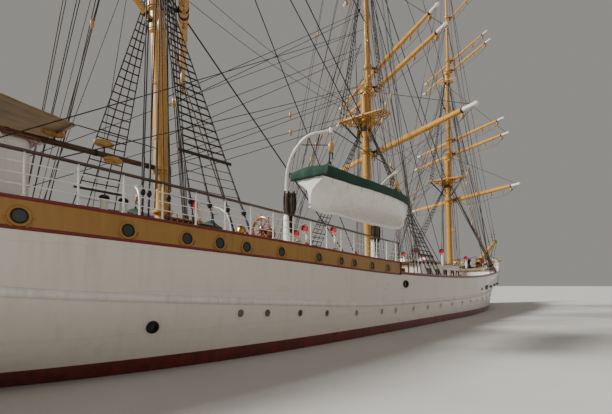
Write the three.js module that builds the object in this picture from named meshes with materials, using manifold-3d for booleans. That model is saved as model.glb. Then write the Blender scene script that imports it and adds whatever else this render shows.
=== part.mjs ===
// Full-rigged ship with three masts, afloat, with bare yards: a scale model at half the real size.
//
// Every size below is in metres of the real ship, because that is how a ship is drawn. The outer
// group at the end scales the whole model to millimetres at half size.
// X points forward, Y to port and Z up. The origin is on the waterline, amidships.

import * as THREE from 'three';
import { mergeVertices } from 'three/addons/utils/BufferGeometryUtils.js';
import Module from 'manifold-3d';

const wasm = await Module();
wasm.setup();

const SCALE = 0.5;
const MM_PER_METRE = 1000 * SCALE;
const GAP = 0.0006; // between pieces that touch: 0.3 mm in the model
const CLEAR = 0.012; // round moving pieces: 6 mm in the model
const DEG = Math.PI / 180;
const SIDES = [-1, 1]; // starboard, port

// Hull
const STERN_X = -30.25;
const STEM_X = 30.1;
const BREAK_AFT = -6.75; // fore end of the raised quarterdeck
const BREAK_FORE = 17.5; // aft end of the forecastle
const BAND = 0.64; // height of the raised strake round the quarterdeck
const EDGE = 0.1; // height of the hull above the sheer line forward of it
const BULWARK = 0.12; // thickness
const WELL_DEPTH = 1.15; // sheer line down to the steel of the main deck
const PLANK = 0.08; // deck thickness
const MARGIN = 0.42; // bare hull plate outside the planking of the raised decks
const STRAKE_R = 0.1; // rubbing strake
const KEEL_Z = -4.8;
const KEEL_HALF = 0.15;

// Stern gear
const RUDDER_X = -24.7;
const STOCK_R = 0.13;
const SOLE_Z = -4.55; // top of the bar under the rudder
const SHAFT_Z = -3.1;
const PROPELLER_X = -23.5;
const PROPELLER_R = 1.15;
const POST_X = -22.9; // aft face of the post that carries the propeller
const BLADES = 4;

// Masts, all raked aft by the same angle
const RAKE = 2.5 * DEG;
const MAST_R = 0.28;
const FOOT_R = 0.32;
const TOPMAST_R = 0.21;
const GALLANT_R = 0.15;
const TRUCK_R = 0.06;
const DOUBLING = 0.06; // gap between two masts where they overlap
const MAST_SIDES = 10;
const RING_SIDES = 8;
const BAND_SIDES = 6;
const TOP_HALF = 1.8; // half the width of the platform
const WIRE_R = 0.035;

// Bowsprit
const SPRIT_HEEL = new THREE.Vector3(26.9, 0, 4.98);
const SPRIT_TIP = new THREE.Vector3(35.6, 0, 8.45);
const SPRIT_R = 0.28;

// Boats
const BOAT_Y = 6.3;
const BOAT_AFT = -15.6;
const BOAT_LENGTH = 6.9;
const BOAT_HALF = 0.97;
const BOAT_KEEL_Z = 4.69;
const BOAT_DEPTH = 1.12;
const DAVIT_R = 0.09;
const DAVIT_TOP_Z = 7.35;

// Helm
const WHEEL_X = -11.4;
const WHEEL_Z = 5.0;
const WHEEL_R = 0.8;
const SPOKES = 8;

// Capstan on the forecastle
const CAPSTAN_X = 22.4;
const CAPSTAN_BED = 0.12;

// Spanker boom, gaff and awning
const BOOM_Z = 6.75;
const BOOM_LENGTH = 12.1;
const GAFF_LENGTH = 9.4;
const GAFF_PEAK = 38 * DEG;
const AWNING_FORE = -20.75;
const AWNING_AFT = -27.6;
const AWNING_HALF = 2.3;
const AWNING_EDGE_Z = 7.0;
const AWNING_RIDGE_Z = 7.62;

// Height of the sheer line. Columns: place along the ship, height.
const SHEER = [
  [-30.25, 3.62], [-23.3, 3.37], [-14.8, 3.06], [-8, 2.8], [0, 2.7],
  [8, 2.86], [16, 3.35], [22, 3.95], [27.5, 4.65], [30.25, 5.1],
];

// Height of the middle of the rubbing strake. Columns: place along the ship, height.
const STRAKE = [
  [-30.25, 2.95], [-23.3, 2.14], [-14.8, 1.64], [-9.9, 1.41], [-1.1, 1.36],
  [8, 1.46], [16, 1.8], [24, 2.45], [30.25, 3.2],
];

// Hull stations. Columns: place along the ship, height of the bottom on the centreline, half
// breadth at the strake, fullness of the section (1 is a straight V, 3 is nearly a box), half
// breadth at the deck edge.
const STATIONS = [
  [STERN_X, 2.5, 0.5, 2, 0.75], [-29.9, 2.2, 1.45, 2, 1.7], [-29.2, 1.75, 2.35, 2, 2.65],
  [-27.9, 1.05, 3.3, 2, 3.6], [-26, 0.2, 4.0, 1.9, 4.2], [-24, -0.6, 4.4, 1.8, 4.55],
  [-21.6, -1.5, 4.72, 1.8, 4.82], [-16, -3.3, 5.08, 2.1, 5.12], [-11, -4.1, 5.2, 2.5, 5.22],
  [BREAK_AFT, -4.4, 5.25, 2.8, 5.25], [BREAK_AFT + 0.01, -4.4, 5.25, 2.8, 5.25],
  [0, -4.5, 5.25, 3, 5.25], [6, -4.5, 5.2, 2.7, 5.25], [12.5, -4.4, 4.65, 2.0, 4.95],
  [BREAK_FORE, -4.2, 3.75, 1.6, 4.4], [21, -4.0, 2.85, 1.35, 3.7], [24, -3.4, 1.9, 1.25, 2.85],
  [26.4, -2.0, 1.1, 1.2, 1.95], [28.2, 0.9, 0.55, 1.2, 1.15], [29.3, 2.7, 0.25, 1.2, 0.6],
  [STEM_X, 4.1, 0.1, 1.2, 0.18],
].map(([x, bottom, half, fullness, deckHalf]) => ({ x, bottom, half, fullness, deckHalf }));

// Masts. Columns: name, place along the ship at the waterline, where its foot stands, then
// heights along the mast: collar of the lower shrouds, platform of the top, lower cap,
// crosstrees, topgallant cap, topgallant collar, royal collar, truck.
const MASTS = [
  ['mizzen', -16.57, 'quarter', 13.95, 14.5, 16.6, 23.4, 24.7, 28.4, 33.2, 38],
  ['main', -0.48, 'main', 13.2, 14, 15.95, 25, 26.1, 31.2, 38.4, 45.8],
  ['fore', 16.52, 'main', 12.5, 13.2, 15.5, 23.6, 24.5, 29.5, 35.6, 42],
].map(([name, x, deck, hounds, top, cap, trees, gallantCap, gallant, royal, truck]) => ({
  name, x, deck, hounds, top, cap, trees, gallantCap, gallant, royal, truck,
}));

// Yards. Columns: mast, name, height along the mast, half length, radius, brace angle in
// degrees (port yardarm forward), and the spar that it turns on.
const YARDS = [
  ['fore', 'course', 11.1, 8.1, 0.21, 33, 'lower'],
  ['fore', 'lower_topsail', 16.05, 6.9, 0.17, 31, 'top'],
  ['fore', 'upper_topsail', 17.5, 6.5, 0.16, 32, 'top'],
  ['fore', 'lower_topgallant', 24.95, 5.9, 0.13, 38, 'gallant'],
  ['fore', 'upper_topgallant', 25.95, 5.5, 0.12, 38, 'gallant'],
  ['fore', 'royal', 30.5, 4.5, 0.1, 40, 'gallant'],
  ['main', 'course', 11.7, 9, 0.22, 28, 'lower'],
  ['main', 'lower_topsail', 16.45, 7.8, 0.18, 34, 'top'],
  ['main', 'upper_topsail', 17.8, 7.3, 0.17, 35, 'top'],
  ['main', 'lower_topgallant', 26.55, 6.3, 0.14, 37, 'gallant'],
  ['main', 'upper_topgallant', 27.65, 5.9, 0.13, 38, 'gallant'],
  ['main', 'royal', 32.5, 4.8, 0.11, 40, 'gallant'],
  ['mizzen', 'crossjack', 13.05, 7.5, 0.18, 34, 'lower'],
  ['mizzen', 'lower_topsail', 17.1, 6.5, 0.16, 34, 'top'],
  ['mizzen', 'upper_topsail', 18.3, 6, 0.15, 35, 'top'],
  ['mizzen', 'topgallant', 25.2, 4.9, 0.12, 37, 'gallant'],
  ['mizzen', 'royal', 29.4, 3.9, 0.09, 38, 'gallant'],
].map(([mast, name, height, half, radius, brace, on]) => ({
  mast, name, height, half, radius, brace, on,
}));
// How far in front of its mast's axis a yard's own axis lies
const REACH = { lower: 0.98, top: 0.78, gallant: 0.52 };

// Cowl ventilators. Columns: deck, place along the ship, distance off the centreline, height of
// the cowl above the waterline.
const VENTS = [
  ['quarter', -17.9, 2.5, 5.2], ['quarter', -12, 2.5, 4.75], ['quarter', -8.7, 2.5, 5.1],
  ['main', 1.8, 2.5, 4.9], ['main', 5, 3.2, 5], ['main', 14.1, 2.3, 5],
  ['forecastle', 18.8, 2.6, 4.9],
];

// Mooring bitts. Columns: deck, place along the ship, distance off the centreline.
const BITTS = [['quarter', -27.2, 2.7], ['quarter', -20.5, 3.7], ['main', -5.2, 4.3],
  ['main', 14.6, 4], ['forecastle', 20.4, 2.5]];

// Materials: colour, roughness, metalness
const paint = (color, roughness = 0.45, metalness = 0) =>
  new THREE.MeshStandardMaterial({ color, roughness, metalness });
const WHITE = paint(0xe9e6df);
const OCHRE = paint(0xc9923f);
const TEAK = paint(0x9a6236, 0.5);
const DECKING = paint(0xb99f7c, 0.7);
const WIRE = paint(0x1d1a18, 0.6);
const STEEL = paint(0x34343a, 0.5, 0.5);
const BRONZE = paint(0xb08a4a, 0.35, 1);
const CANVAS = paint(0xcdb892, 0.9);
const COVER = paint(0x1f5c4a, 0.85);
const BOAT_WHITE = paint(0xf0eee8, 0.4);

// Turns a geometry's faces out if they point in, and welds its shared corners.
function welded(geometry) {
  const bare = geometry.clone();
  bare.deleteAttribute('normal');
  bare.deleteAttribute('uv');
  const mesh = mergeVertices(bare, 1e-5);
  const index = mesh.index.array;
  const a = new THREE.Vector3();
  const b = new THREE.Vector3();
  const c = new THREE.Vector3();
  let volume = 0;
  for (let i = 0; i < index.length; i += 3) {
    a.fromBufferAttribute(mesh.attributes.position, index[i]);
    b.fromBufferAttribute(mesh.attributes.position, index[i + 1]);
    c.fromBufferAttribute(mesh.attributes.position, index[i + 2]);
    volume += a.dot(b.cross(c));
  }
  if (volume < 0) {
    for (let i = 0; i < index.length; i += 3) [index[i], index[i + 1]] = [index[i + 1], index[i]];
  }
  return mesh;
}

function solid(geometry) {
  const mesh = welded(geometry);
  return new wasm.Manifold(new wasm.Mesh({
    numProp: 3,
    vertProperties: Float32Array.from(mesh.attributes.position.array),
    triVerts: Uint32Array.from(mesh.index.array),
  }));
}

function fromSolid(manifold) {
  const mesh = manifold.getMesh();
  const geometry = new THREE.BufferGeometry();
  geometry.setAttribute('position', new THREE.BufferAttribute(mesh.vertProperties, 3));
  geometry.setIndex(new THREE.BufferAttribute(mesh.triVerts, 1));
  return geometry;
}

const join = (...pieces) =>
  fromSolid(pieces.flat().map(solid).reduce((whole, piece) => whole.add(piece)));

const cut = (geometry, ...cutters) =>
  fromSolid(cutters.flat().map(solid).reduce((whole, piece) => whole.subtract(piece), solid(geometry)));

// A solid through rings of the same number of points, closed with a flat face at each end.
function loft(rings) {
  const count = rings[0].length;
  const positions = rings.flat(2);
  const index = [];
  for (let r = 0; r < rings.length - 1; r++) {
    for (let i = 0; i < count; i++) {
      const a = r * count + i;
      const b = r * count + ((i + 1) % count);
      index.push(a, b, b + count, a, b + count, a + count);
    }
  }
  const start = (rings.length - 1) * count;
  for (const [ring, first, flip] of [[rings[0], 0, true], [rings[rings.length - 1], start, false]]) {
    for (const [i, j, k] of capTriangles(ring)) {
      index.push(...(flip ? [first + i, first + k, first + j] : [first + i, first + j, first + k]));
    }
  }
  const geometry = new THREE.BufferGeometry();
  geometry.setAttribute('position', new THREE.Float32BufferAttribute(positions, 3));
  geometry.setIndex(index);
  return geometry;
}

// Triangles of a flat ring, turned the same way as the ring runs.
function capTriangles(ring) {
  const normal = new THREE.Vector3();
  ring.forEach((p, i) => {
    const q = ring[(i + 1) % ring.length];
    normal.x += (p[1] - q[1]) * (p[2] + q[2]);
    normal.y += (p[2] - q[2]) * (p[0] + q[0]);
    normal.z += (p[0] - q[0]) * (p[1] + q[1]);
  });
  const size = normal.toArray().map(Math.abs);
  const drop = size.indexOf(Math.max(...size));
  const [u, v] = [[1, 2], [2, 0], [0, 1]][drop];
  const flat = ring.map((p) => new THREE.Vector2(p[u], p[v]));
  const triangles = THREE.ShapeUtils.triangulateShape(flat, []);
  const forward = THREE.ShapeUtils.area(flat) > 0;
  return triangles.map(([i, j, k]) => {
    const [a, b, c] = [flat[i], flat[j], flat[k]];
    const turn = (b.x - a.x) * (c.y - a.y) - (b.y - a.y) * (c.x - a.x) > 0;
    return turn === forward ? [i, j, k] : [i, k, j];
  });
}

function box(x0, x1, y0, y1, z0, z1) {
  const geometry = new THREE.BoxGeometry(x1 - x0, y1 - y0, z1 - z0);
  return geometry.translate((x0 + x1) / 2, (y0 + y1) / 2, (z0 + z1) / 2);
}

// A round bar between two points, with its radius at each.
function rod(from, to, r0, r1 = r0, sides = 6) {
  const a = new THREE.Vector3(...from);
  const b = new THREE.Vector3(...to);
  const along = b.clone().sub(a);
  const geometry = new THREE.CylinderGeometry(r1, r0, along.length(), sides);
  geometry.applyQuaternion(
    new THREE.Quaternion().setFromUnitVectors(new THREE.Vector3(0, 1, 0), along.normalize()));
  return geometry.translate(...a.add(b).multiplyScalar(0.5).toArray());
}

// A turned piece about the Z axis, from a closed list of [radius, height].
function turned(profile, sides = MAST_SIDES) {
  const points = [...profile, profile[0]].map(([r, z]) => new THREE.Vector2(r, z));
  return new THREE.LatheGeometry(points, sides).rotateX(90 * DEG);
}

const ringOf = (inner, outer, z0, z1, sides = RING_SIDES) =>
  turned([[inner, z0], [outer, z0], [outer, z1], [inner, z1]], sides);

// The radius that puts the flats of a many-sided hole this far outside a bar of that radius.
const holeRadius = (radius, clearance, sides = RING_SIDES) =>
  (radius + clearance) / Math.cos(Math.PI / sides);

// A rectangular bar along a list of points, upright everywhere.
function bar(path, width, height) {
  return loft(path.map((p, i) => {
    const before = path[Math.max(i - 1, 0)];
    const after = path[Math.min(i + 1, path.length - 1)];
    const run = Math.hypot(after[0] - before[0], after[1] - before[1]);
    const side = [(before[1] - after[1]) / run, (after[0] - before[0]) / run];
    return [[-1, -1], [1, -1], [1, 1], [-1, 1]].map(([u, v]) => [
      p[0] + u * side[0] * width / 2, p[1] + u * side[1] * width / 2, p[2] + v * height / 2]);
  }));
}

// A tube along a smooth curve through points.
function tube(points, radius, steps = 10, sides = 6) {
  const outline = new THREE.Shape();
  for (let i = 0; i < sides; i++) {
    const turn = 2 * Math.PI * i / sides;
    const draw = i ? 'lineTo' : 'moveTo';
    outline[draw](radius * Math.cos(turn), radius * Math.sin(turn));
  }
  const extrudePath = new THREE.CatmullRomCurve3(points.map((p) => new THREE.Vector3(...p)));
  return new THREE.ExtrudeGeometry(outline, { steps, extrudePath, bevelEnabled: false });
}

// Smooth curve through a table of [place, value].
function along(table, x) {
  const last = table.length - 1;
  const slope = (i) => {
    const a = table[Math.max(i - 1, 0)];
    const b = table[Math.min(i + 1, last)];
    return (b[1] - a[1]) / (b[0] - a[0]);
  };
  let i = table.findIndex((row) => row[0] > x) - 1;
  if (i < 0) i = x < table[0][0] ? 0 : last - 1;
  const [x0, y0] = table[i];
  const [x1, y1] = table[i + 1];
  const h = x1 - x0;
  const t = Math.min(Math.max((x - x0) / h, 0), 1);
  return y0 * (1 + 2 * t) * (1 - t) ** 2 + y1 * t * t * (3 - 2 * t)
    + h * t * (1 - t) * (slope(i) * (1 - t) - slope(i + 1) * t);
}

// Hull, straight between its stations: deck edge and the tops of hull and planking at a place.
const hullTop = (x) => along(SHEER, x) + (x <= BREAK_AFT ? BAND : EDGE);
const EDGES = STATIONS.map(({ x, deckHalf }) => ({
  x, deckHalf, sheer: along(SHEER, x), top: hullTop(x),
}));

function edgeAt(x) {
  const i = Math.min(Math.max(EDGES.findIndex((e) => e.x > x), 1), EDGES.length - 1);
  const [a, b] = [EDGES[i - 1], EDGES[i]];
  const t = (x - a.x) / (b.x - a.x);
  const mix = (key) => a[key] + t * (b[key] - a[key]);
  return { x, deckHalf: mix('deckHalf'), sheer: mix('sheer'), top: mix('top') };
}

const SECTION_STEPS = [0.03, 0.12, 0.28, 0.5, 0.75, 1];

function hullRing({ x, bottom, half, fullness, deckHalf }) {
  const sheer = along(SHEER, x);
  const strake = Math.max(along(STRAKE, x), bottom + 0.35 * (sheer - bottom));
  const side = SECTION_STEPS.map((s) => [
    half * (1 - (1 - s) ** fullness) ** (1 / fullness),
    bottom + s * (strake - STRAKE_R - bottom),
  ]);
  const middle = half + (deckHalf - half) * STRAKE_R / (sheer - strake);
  side.push([half + STRAKE_R, strake], [middle, strake + STRAKE_R], [deckHalf, sheer],
    [deckHalf, hullTop(x)]);
  const port = side.map(([y, z]) => [x, y, z]).reverse();
  return [...port, [x, 0, bottom], ...side.map(([y, z]) => [x, -y, z])];
}

// Keel, stem and the frame round the propeller, cut from one flat plate on the centreline.
function keelPlate() {
  const outline = new THREE.Shape();
  outline.moveTo(RUDDER_X - 0.35, KEEL_Z);
  outline.lineTo(22, KEEL_Z);
  outline.quadraticCurveTo(26.2, KEEL_Z + 0.2, 27.5, 0);
  outline.quadraticCurveTo(28.4, 3.1, 31.1, 5.2);
  outline.lineTo(31.0, 5.55);
  outline.lineTo(29.4, 4.7);
  outline.lineTo(26.6, -0.9);
  outline.lineTo(23, -3.0);
  outline.lineTo(-6, -3.8);
  outline.lineTo(-16, -2.5);
  outline.lineTo(POST_X, -0.6);
  outline.lineTo(POST_X, SOLE_Z);
  outline.lineTo(RUDDER_X - 0.35, SOLE_Z);
  const plate = new THREE.ExtrudeGeometry(outline, {
    depth: 2 * KEEL_HALF, bevelEnabled: false, curveSegments: 6,
  });
  return plate.rotateX(90 * DEG).translate(0, KEEL_HALF, 0);
}

// A slab on a stretch of hull: its lowest and highest faces follow the hull's top edge.
function deckSlab(from, to, inset, low, high, level = 'top') {
  const places = [from, ...STATIONS.map((s) => s.x).filter((x) => x > from && x < to), to];
  return loft(places.map((x) => {
    const edge = edgeAt(x);
    const y = edge.deckHalf - inset;
    const z = edge[level];
    return [[x, y, z + low], [x, -y, z + low], [x, -y, z + high], [x, y, z + high]];
  }));
}

const WELL_END = 0.02; // between the main deck's planking and the bulkheads at its ends
const DECKS = {
  quarter: {
    from: -29.7, to: BREAK_AFT - 0.1, inset: MARGIN, level: 'top', low: GAP, high: PLANK,
  },
  main: {
    from: BREAK_AFT + 0.01 + WELL_END, to: BREAK_FORE - WELL_END, inset: BULWARK + WELL_END,
    level: 'sheer', low: GAP - WELL_DEPTH, high: PLANK - WELL_DEPTH,
  },
  forecastle: {
    from: BREAK_FORE + 0.1, to: 28.9, inset: MARGIN, level: 'top', low: GAP, high: PLANK,
  },
};
const planking = ({ from, to, inset, low, high, level }) => deckSlab(from, to, inset, low, high, level);

const deckZ = (name, x) => edgeAt(x)[DECKS[name].level] + DECKS[name].high;

// What lies below a deck's surface, to trim the feet of what stands on it or is let into it.
const belowDeck = (height) => Object.fromEntries(Object.entries(DECKS).map(([name, d]) =>
  [name, deckSlab(d.from - 0.05, d.to + 0.05, 0, d.low - 0.8, d.high + height, d.level)]));
const UNDER_DECK = belowDeck(GAP);
const UNDER_FITTINGS = belowDeck(-PLANK / 2);

// What lies below the bare margins of the raised decks, to trim what stands on them.
const UNDER_EDGE = [[STERN_X, BREAK_AFT - 0.01], [BREAK_FORE, STEM_X]].map(([from, to]) =>
  deckSlab(from, to, -0.3, -0.8, GAP));

function standOn(name, geometry, group) {
  const cutter = UNDER_DECK[name].clone();
  if (group) {
    group.updateMatrix();
    cutter.applyMatrix4(group.matrix.clone().invert());
  }
  return cut(geometry, cutter);
}

function hull() {
  const well = deckSlab(BREAK_AFT + 0.01, BREAK_FORE, BULWARK, -WELL_DEPTH, 3, 'sheer');
  const tunnel = rod([RUDDER_X, 0, -1.5], [RUDDER_X, 0, 0.62], STOCK_R + 0.02, STOCK_R + 0.02, 12);
  const boss = rod([-20.5, 0, SHAFT_Z], [POST_X - 0.05, 0, SHAFT_Z], 0.45, 0.28, 12);
  const bed = box(29.3, 30.0, -0.2, 0.2, 4.6, 6);
  const shape = join(loft(STATIONS.map(hullRing)), keelPlate(), boss, bed);
  return cut(shape, well, tunnel, bowspritSpar(GAP));
}

function bowspritSpar(extra = 0) {
  const past = SPRIT_TIP.clone().sub(SPRIT_HEEL).setLength(10 * extra);
  const heel = SPRIT_HEEL.clone().sub(past).toArray();
  const tip = SPRIT_TIP.clone().add(past).toArray();
  return rod(heel, tip, SPRIT_R + extra, SPRIT_R * 0.75 + extra, MAST_SIDES);
}

function vent([deck, x, y, top]) {
  const foot = deckZ(deck, x) - 0.2;
  return SIDES.map((side) => join(
    rod([x, side * y, foot], [x, side * y, top - 0.15], 0.13, 0.13, 6),
    rod([x + 0.16, side * y, top - 0.12], [x - 0.22, side * y, top], 0.16, 0.3, 8),
  ));
}

function bitts([deck, x, y]) {
  const foot = deckZ(deck, x) - 0.2;
  return SIDES.map((side) => join(
    box(x - 0.5, x + 0.5, side * y - 0.16, side * y + 0.16, foot, foot + 0.32),
    ...[-0.3, 0.3].map((d) =>
      box(x + d - 0.1, x + d + 0.1, side * y - 0.1, side * y + 0.1, foot, foot + 0.82)),
  ));
}

// Posts and cross-piece round a mast's foot, for its belaying pins.
function fifeRail(deck, x) {
  const z = deckZ(deck, x) - 0.1;
  const posts = SIDES.flatMap((side) => [x - 0.75, x + 0.75].map((px) =>
    box(px - 0.07, px + 0.07, side * 0.85 - 0.07, side * 0.85 + 0.07, z, z + 1)));
  const rails = SIDES.map((side) =>
    box(x - 0.9, x + 0.9, side * 0.85 - 0.1, side * 0.85 + 0.1, z + 0.88, z + 0.98));
  return [...posts, ...rails, box(x - 0.85, x - 0.65, -0.9, 0.9, z + 0.88, z + 0.98)];
}

const hatch = (deck, x0, x1, half, height) =>
  box(x0, x1, -half, half, deckZ(deck, x0) - 0.2, deckZ(deck, (x0 + x1) / 2) + height);

function skylight() {
  const z = deckZ('quarter', -14.4);
  return loft([-15.3, -13.5].map((x) => [[x, 0.75, z - 0.3], [x, -0.75, z - 0.3],
    [x, -0.75, z + 0.45], [x, 0, z + 0.85], [x, 0.75, z + 0.45]]));
}

function deckPiece(name, extras) {
  const own = (table, make) => table.filter((row) => row[0] === name).flatMap(make);
  const fittings = join(own(VENTS, vent), own(BITTS, bitts), extras);
  return join(planking(DECKS[name]), cut(fittings, UNDER_FITTINGS[name]));
}

// How far the rail stands in from the hull's side
const RAIL_INSET = 0.07;

// Open rail: its cap, and stanchions at one spacing along a path on the hull's edge.
const RAIL_HEIGHT = 0.93;
const CAP = 0.06;

function rail(path) {
  const raise = (z) => path.map(([x, y, base]) => [x, y, base + z]);
  const posts = [];
  const pitch = 1.92;
  let carry = 0.1;
  for (let i = 0; i + 1 < path.length; i++) {
    const [a, b] = [path[i], path[i + 1]];
    const length = Math.hypot(b[0] - a[0], b[1] - a[1]);
    for (; carry < length - 0.03; carry += pitch) {
      const [x, y, z] = a.map((v, k) => v + (b[k] - v) * carry / length);
      posts.push(box(x - 0.025, x + 0.025, y - 0.025, y + 0.025, z - 0.05, z + RAIL_HEIGHT - CAP / 2));
    }
    carry -= length;
  }
  return cut(join(bar(raise(RAIL_HEIGHT - CAP / 2), 0.16, CAP), posts), UNDER_EDGE);
}

const edgePath = (from, to, side) => {
  const inside = STATIONS.map((s) => s.x).filter((x) => x > from + 0.05 && x < to - 0.05);
  return [from, ...inside, to].map((x) => {
    const edge = edgeAt(x);
    return [x, side * (edge.deckHalf - RAIL_INSET), edge.top];
  });
};

// A deckhouse with walls as thick as its door, a roof that overhangs, windows and one doorway.
const WALL = 0.1;
const DOOR_GAP = 0.02;

function house({ deck, aft, fore, half, height, windows, door }) {
  const z = deckZ(deck, (aft + fore) / 2);
  const outer = box(aft, fore, -half, half, z - 0.4, z + height);
  const inner = box(aft + WALL, fore - WALL, -half + WALL, half - WALL, z + 0.1, z + height - WALL);
  const roof = box(aft - 0.15, fore + 0.15, -half - 0.15, half + 0.15, z + height - 0.1, z + height);
  const panes = windows.flatMap((x) => SIDES.map((side) =>
    box(x - 0.3, x + 0.3, side * half - 0.2, side * half + 0.2, z + height - 1.1, z + height - 0.55)));
  const doorway = box(door.x - 0.2, door.x + 0.2, door.y0, door.y1, z + 0.15, z + door.height);
  return standOn(deck, cut(join(outer, roof), inner, panes, doorway));
}

// The door fills its doorway. Its origin is on the hinge, at the outer face.
function houseDoor({ deck, aft, fore, door, name }) {
  const z = deckZ(deck, (aft + fore) / 2);
  const out = Math.sign(door.x - (aft + fore) / 2);
  const low = z + 0.15 + DOOR_GAP;
  const panel = box(out > 0 ? -WALL : 0, out > 0 ? 0 : WALL, GAP, door.y1 - door.y0 - DOOR_GAP,
    0, door.height - 0.15 - 2 * DOOR_GAP);
  place(name, panel, TEAK, [door.x, door.y0, low]);
}

const HOUSES = [
  {
    name: 'chart_house', deck: 'quarter', aft: -27, fore: -21.8, half: 1.9, height: 1.95,
    windows: [-25.9, -24.4, -22.9], door: { x: -21.8, y0: 0.35, y1: 1.1, height: 1.75 },
  },
  {
    name: 'deck_house', deck: 'main', aft: 3.2, fore: 12.2, half: 2.3, height: 2.25,
    windows: [4.6, 6.4, 8.2, 10, 11.4], door: { x: 3.2, y0: -1.2, y1: -0.4, height: 2 },
  },
];

// The scene
const ship = new THREE.Group();

function place(name, geometry, material, position = [0, 0, 0], parent = ship) {
  const mesh = new THREE.Mesh(welded(geometry), material);
  mesh.name = name;
  mesh.position.set(...position);
  parent.add(mesh);
  return mesh;
}

function buildHull() {
  place('hull', hull(), WHITE);
  place('deck_quarter', deckPiece('quarter', [hatch('quarter', -10.2, -8.9, 0.6, 0.75), skylight()]), DECKING);
  place('deck_main', deckPiece('main', [hatch('main', -5.4, -2.9, 1.4, 0.6),
    ...fifeRail('main', -0.6), ...fifeRail('main', 16.2)]), DECKING);
  const foot = deckZ('forecastle', CAPSTAN_X);
  const bed = box(CAPSTAN_X - 0.6, CAPSTAN_X + 0.6, -0.6, 0.6, foot - 0.07, foot + CAPSTAN_BED);
  place('deck_forecastle', cut(deckPiece('forecastle', bed), bowspritSpar(GAP)), DECKING);
  const [aft, fore] = [STERN_X + RAIL_INSET, BREAK_AFT - RAIL_INSET];
  for (const [side, name] of [[-1, 'starboard'], [1, 'port']]) {
    const quarter = edgePath(aft, fore, side);
    const [x, , z] = quarter[0];
    place(`rail_quarterdeck_${name}`, rail([[x, side * GAP / 2, z], ...quarter]), TEAK);
    place(`rail_forecastle_${name}`, rail(edgePath(BREAK_FORE + 0.05, 28.9, side)), TEAK);
  }
  place('bowsprit', bowspritSpar(), OCHRE);
}

function buildHouses() {
  for (const each of HOUSES) {
    place(each.name, house(each), WHITE);
    houseDoor({ ...each, name: `${each.name}_door` });
  }
}

function buildHelm() {
  const deck = deckZ('quarter', WHEEL_X);
  const stand = join(
    box(WHEEL_X + 0.15, WHEEL_X + 0.75, -0.24, 0.24, deck - 0.2, WHEEL_Z + 0.2),
    rod([WHEEL_X + 0.1 + GAP, 0, WHEEL_Z], [WHEEL_X + 0.3, 0, WHEEL_Z], 0.1, 0.1, 10));
  place('wheel_stand', standOn('quarter', stand), TEAK);
  const spokes = Array.from({ length: SPOKES }, (_, i) => {
    const turn = 2 * Math.PI * i / SPOKES;
    const out = [0, Math.cos(turn), Math.sin(turn)];
    const at = (r) => out.map((v) => v * r);
    return rod(at(0.05), at(WHEEL_R), 0.032, 0.022, 4);
  });
  const rim = turned([[0.52, -0.035], [0.62, -0.035], [0.62, 0.035], [0.52, 0.035]], 16).rotateY(90 * DEG);
  const hub = rod([-0.1, 0, 0], [0.1, 0, 0], 0.12, 0.12, 8);
  place('wheel', join(rim, hub, spokes), TEAK, [WHEEL_X, 0, WHEEL_Z]);
  const foot = deckZ('quarter', -12.7);
  const binnacle = turned([[0, foot - 0.2], [0.24, foot - 0.2], [0.24, foot + 0.1], [0.15, foot + 0.2],
    [0.15, foot + 0.9], [0.24, foot + 1], [0.2, foot + 1.25], [0, foot + 1.36]]).translate(-12.7, 0, 0);
  place('binnacle', standOn('quarter', binnacle), BRONZE);
}

function buildForecastle() {
  const foot = deckZ('forecastle', CAPSTAN_X);
  const drum = turned([[0, GAP], [0.42, GAP], [0.42, 0.12], [0.26, 0.25], [0.24, 0.6], [0.36, 0.75],
    [0.36, 0.95], [0, 1]]);
  place('capstan', drum, STEEL, [CAPSTAN_X, 0, foot + CAPSTAN_BED]);
  for (const [side, name] of [[-1, 'starboard'], [1, 'port']]) {
    const anchor = join(
      box(-1, 1, -0.09, 0.09, 0.02, 0.2),
      rod([-0.95, -0.85, 0.11], [-0.95, 0.85, 0.11], 0.1, 0.1, 6),
      ...[-0.7, 0.7].map((y) => loft([[-0.95, 0.2], [-0.2, 0.03]].map(([x, w]) =>
        [[x, y - w, 0.03], [x, y + w, 0.03], [x, y + w, 0.19], [x, y - w, 0.19]]))));
    const x = 24.1;
    const lie = anchor.rotateZ(-side * 16 * DEG).translate(x, side * 1.35, deckZ('forecastle', x) - 0.05);
    place(`anchor_${name}`, standOn('forecastle', lie), STEEL);
  }
}

function buildSternGear() {
  const outline = new THREE.Shape();
  [[0.15, -0.75], [-1.6, -0.15], [-1.85, -2.2], [-1.6, SOLE_Z + 0.1], [0.15, SOLE_Z + 0.1]].forEach(
    ([x, z], i) => outline[i ? 'lineTo' : 'moveTo'](x, z));
  const blade = new THREE.ExtrudeGeometry(outline, { depth: 0.22, bevelEnabled: false });
  blade.rotateX(90 * DEG).translate(0, 0.11, 0);
  const stock = rod([0, 0, SOLE_Z + GAP], [0, 0, 0.6], STOCK_R, STOCK_R, 12);
  place('rudder', join(blade, stock), WHITE, [RUDDER_X, 0, 0]);

  const hubRod = rod([POST_X - 0.05 - GAP - PROPELLER_X, 0, 0], [-0.35, 0, 0], 0.24, 0.16, 12);
  const blades = Array.from({ length: BLADES }, (_, i) => {
    const leaf = loft([[0.1, 0.22, 0.045], [0.6, 0.42, 0.03], [0.95, 0.36, 0.02], [PROPELLER_R, 0.14, 0.012]]
      .map(([r, w, t]) => [[-t, -w, r], [t, -w, r], [t, w, r], [-t, w, r]]));
    return leaf.rotateZ(55 * DEG).rotateX(2 * Math.PI * i / BLADES);
  });
  place('propeller', join(hubRod, blades), BRONZE, [PROPELLER_X, 0, SHAFT_Z]);
}

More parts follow.
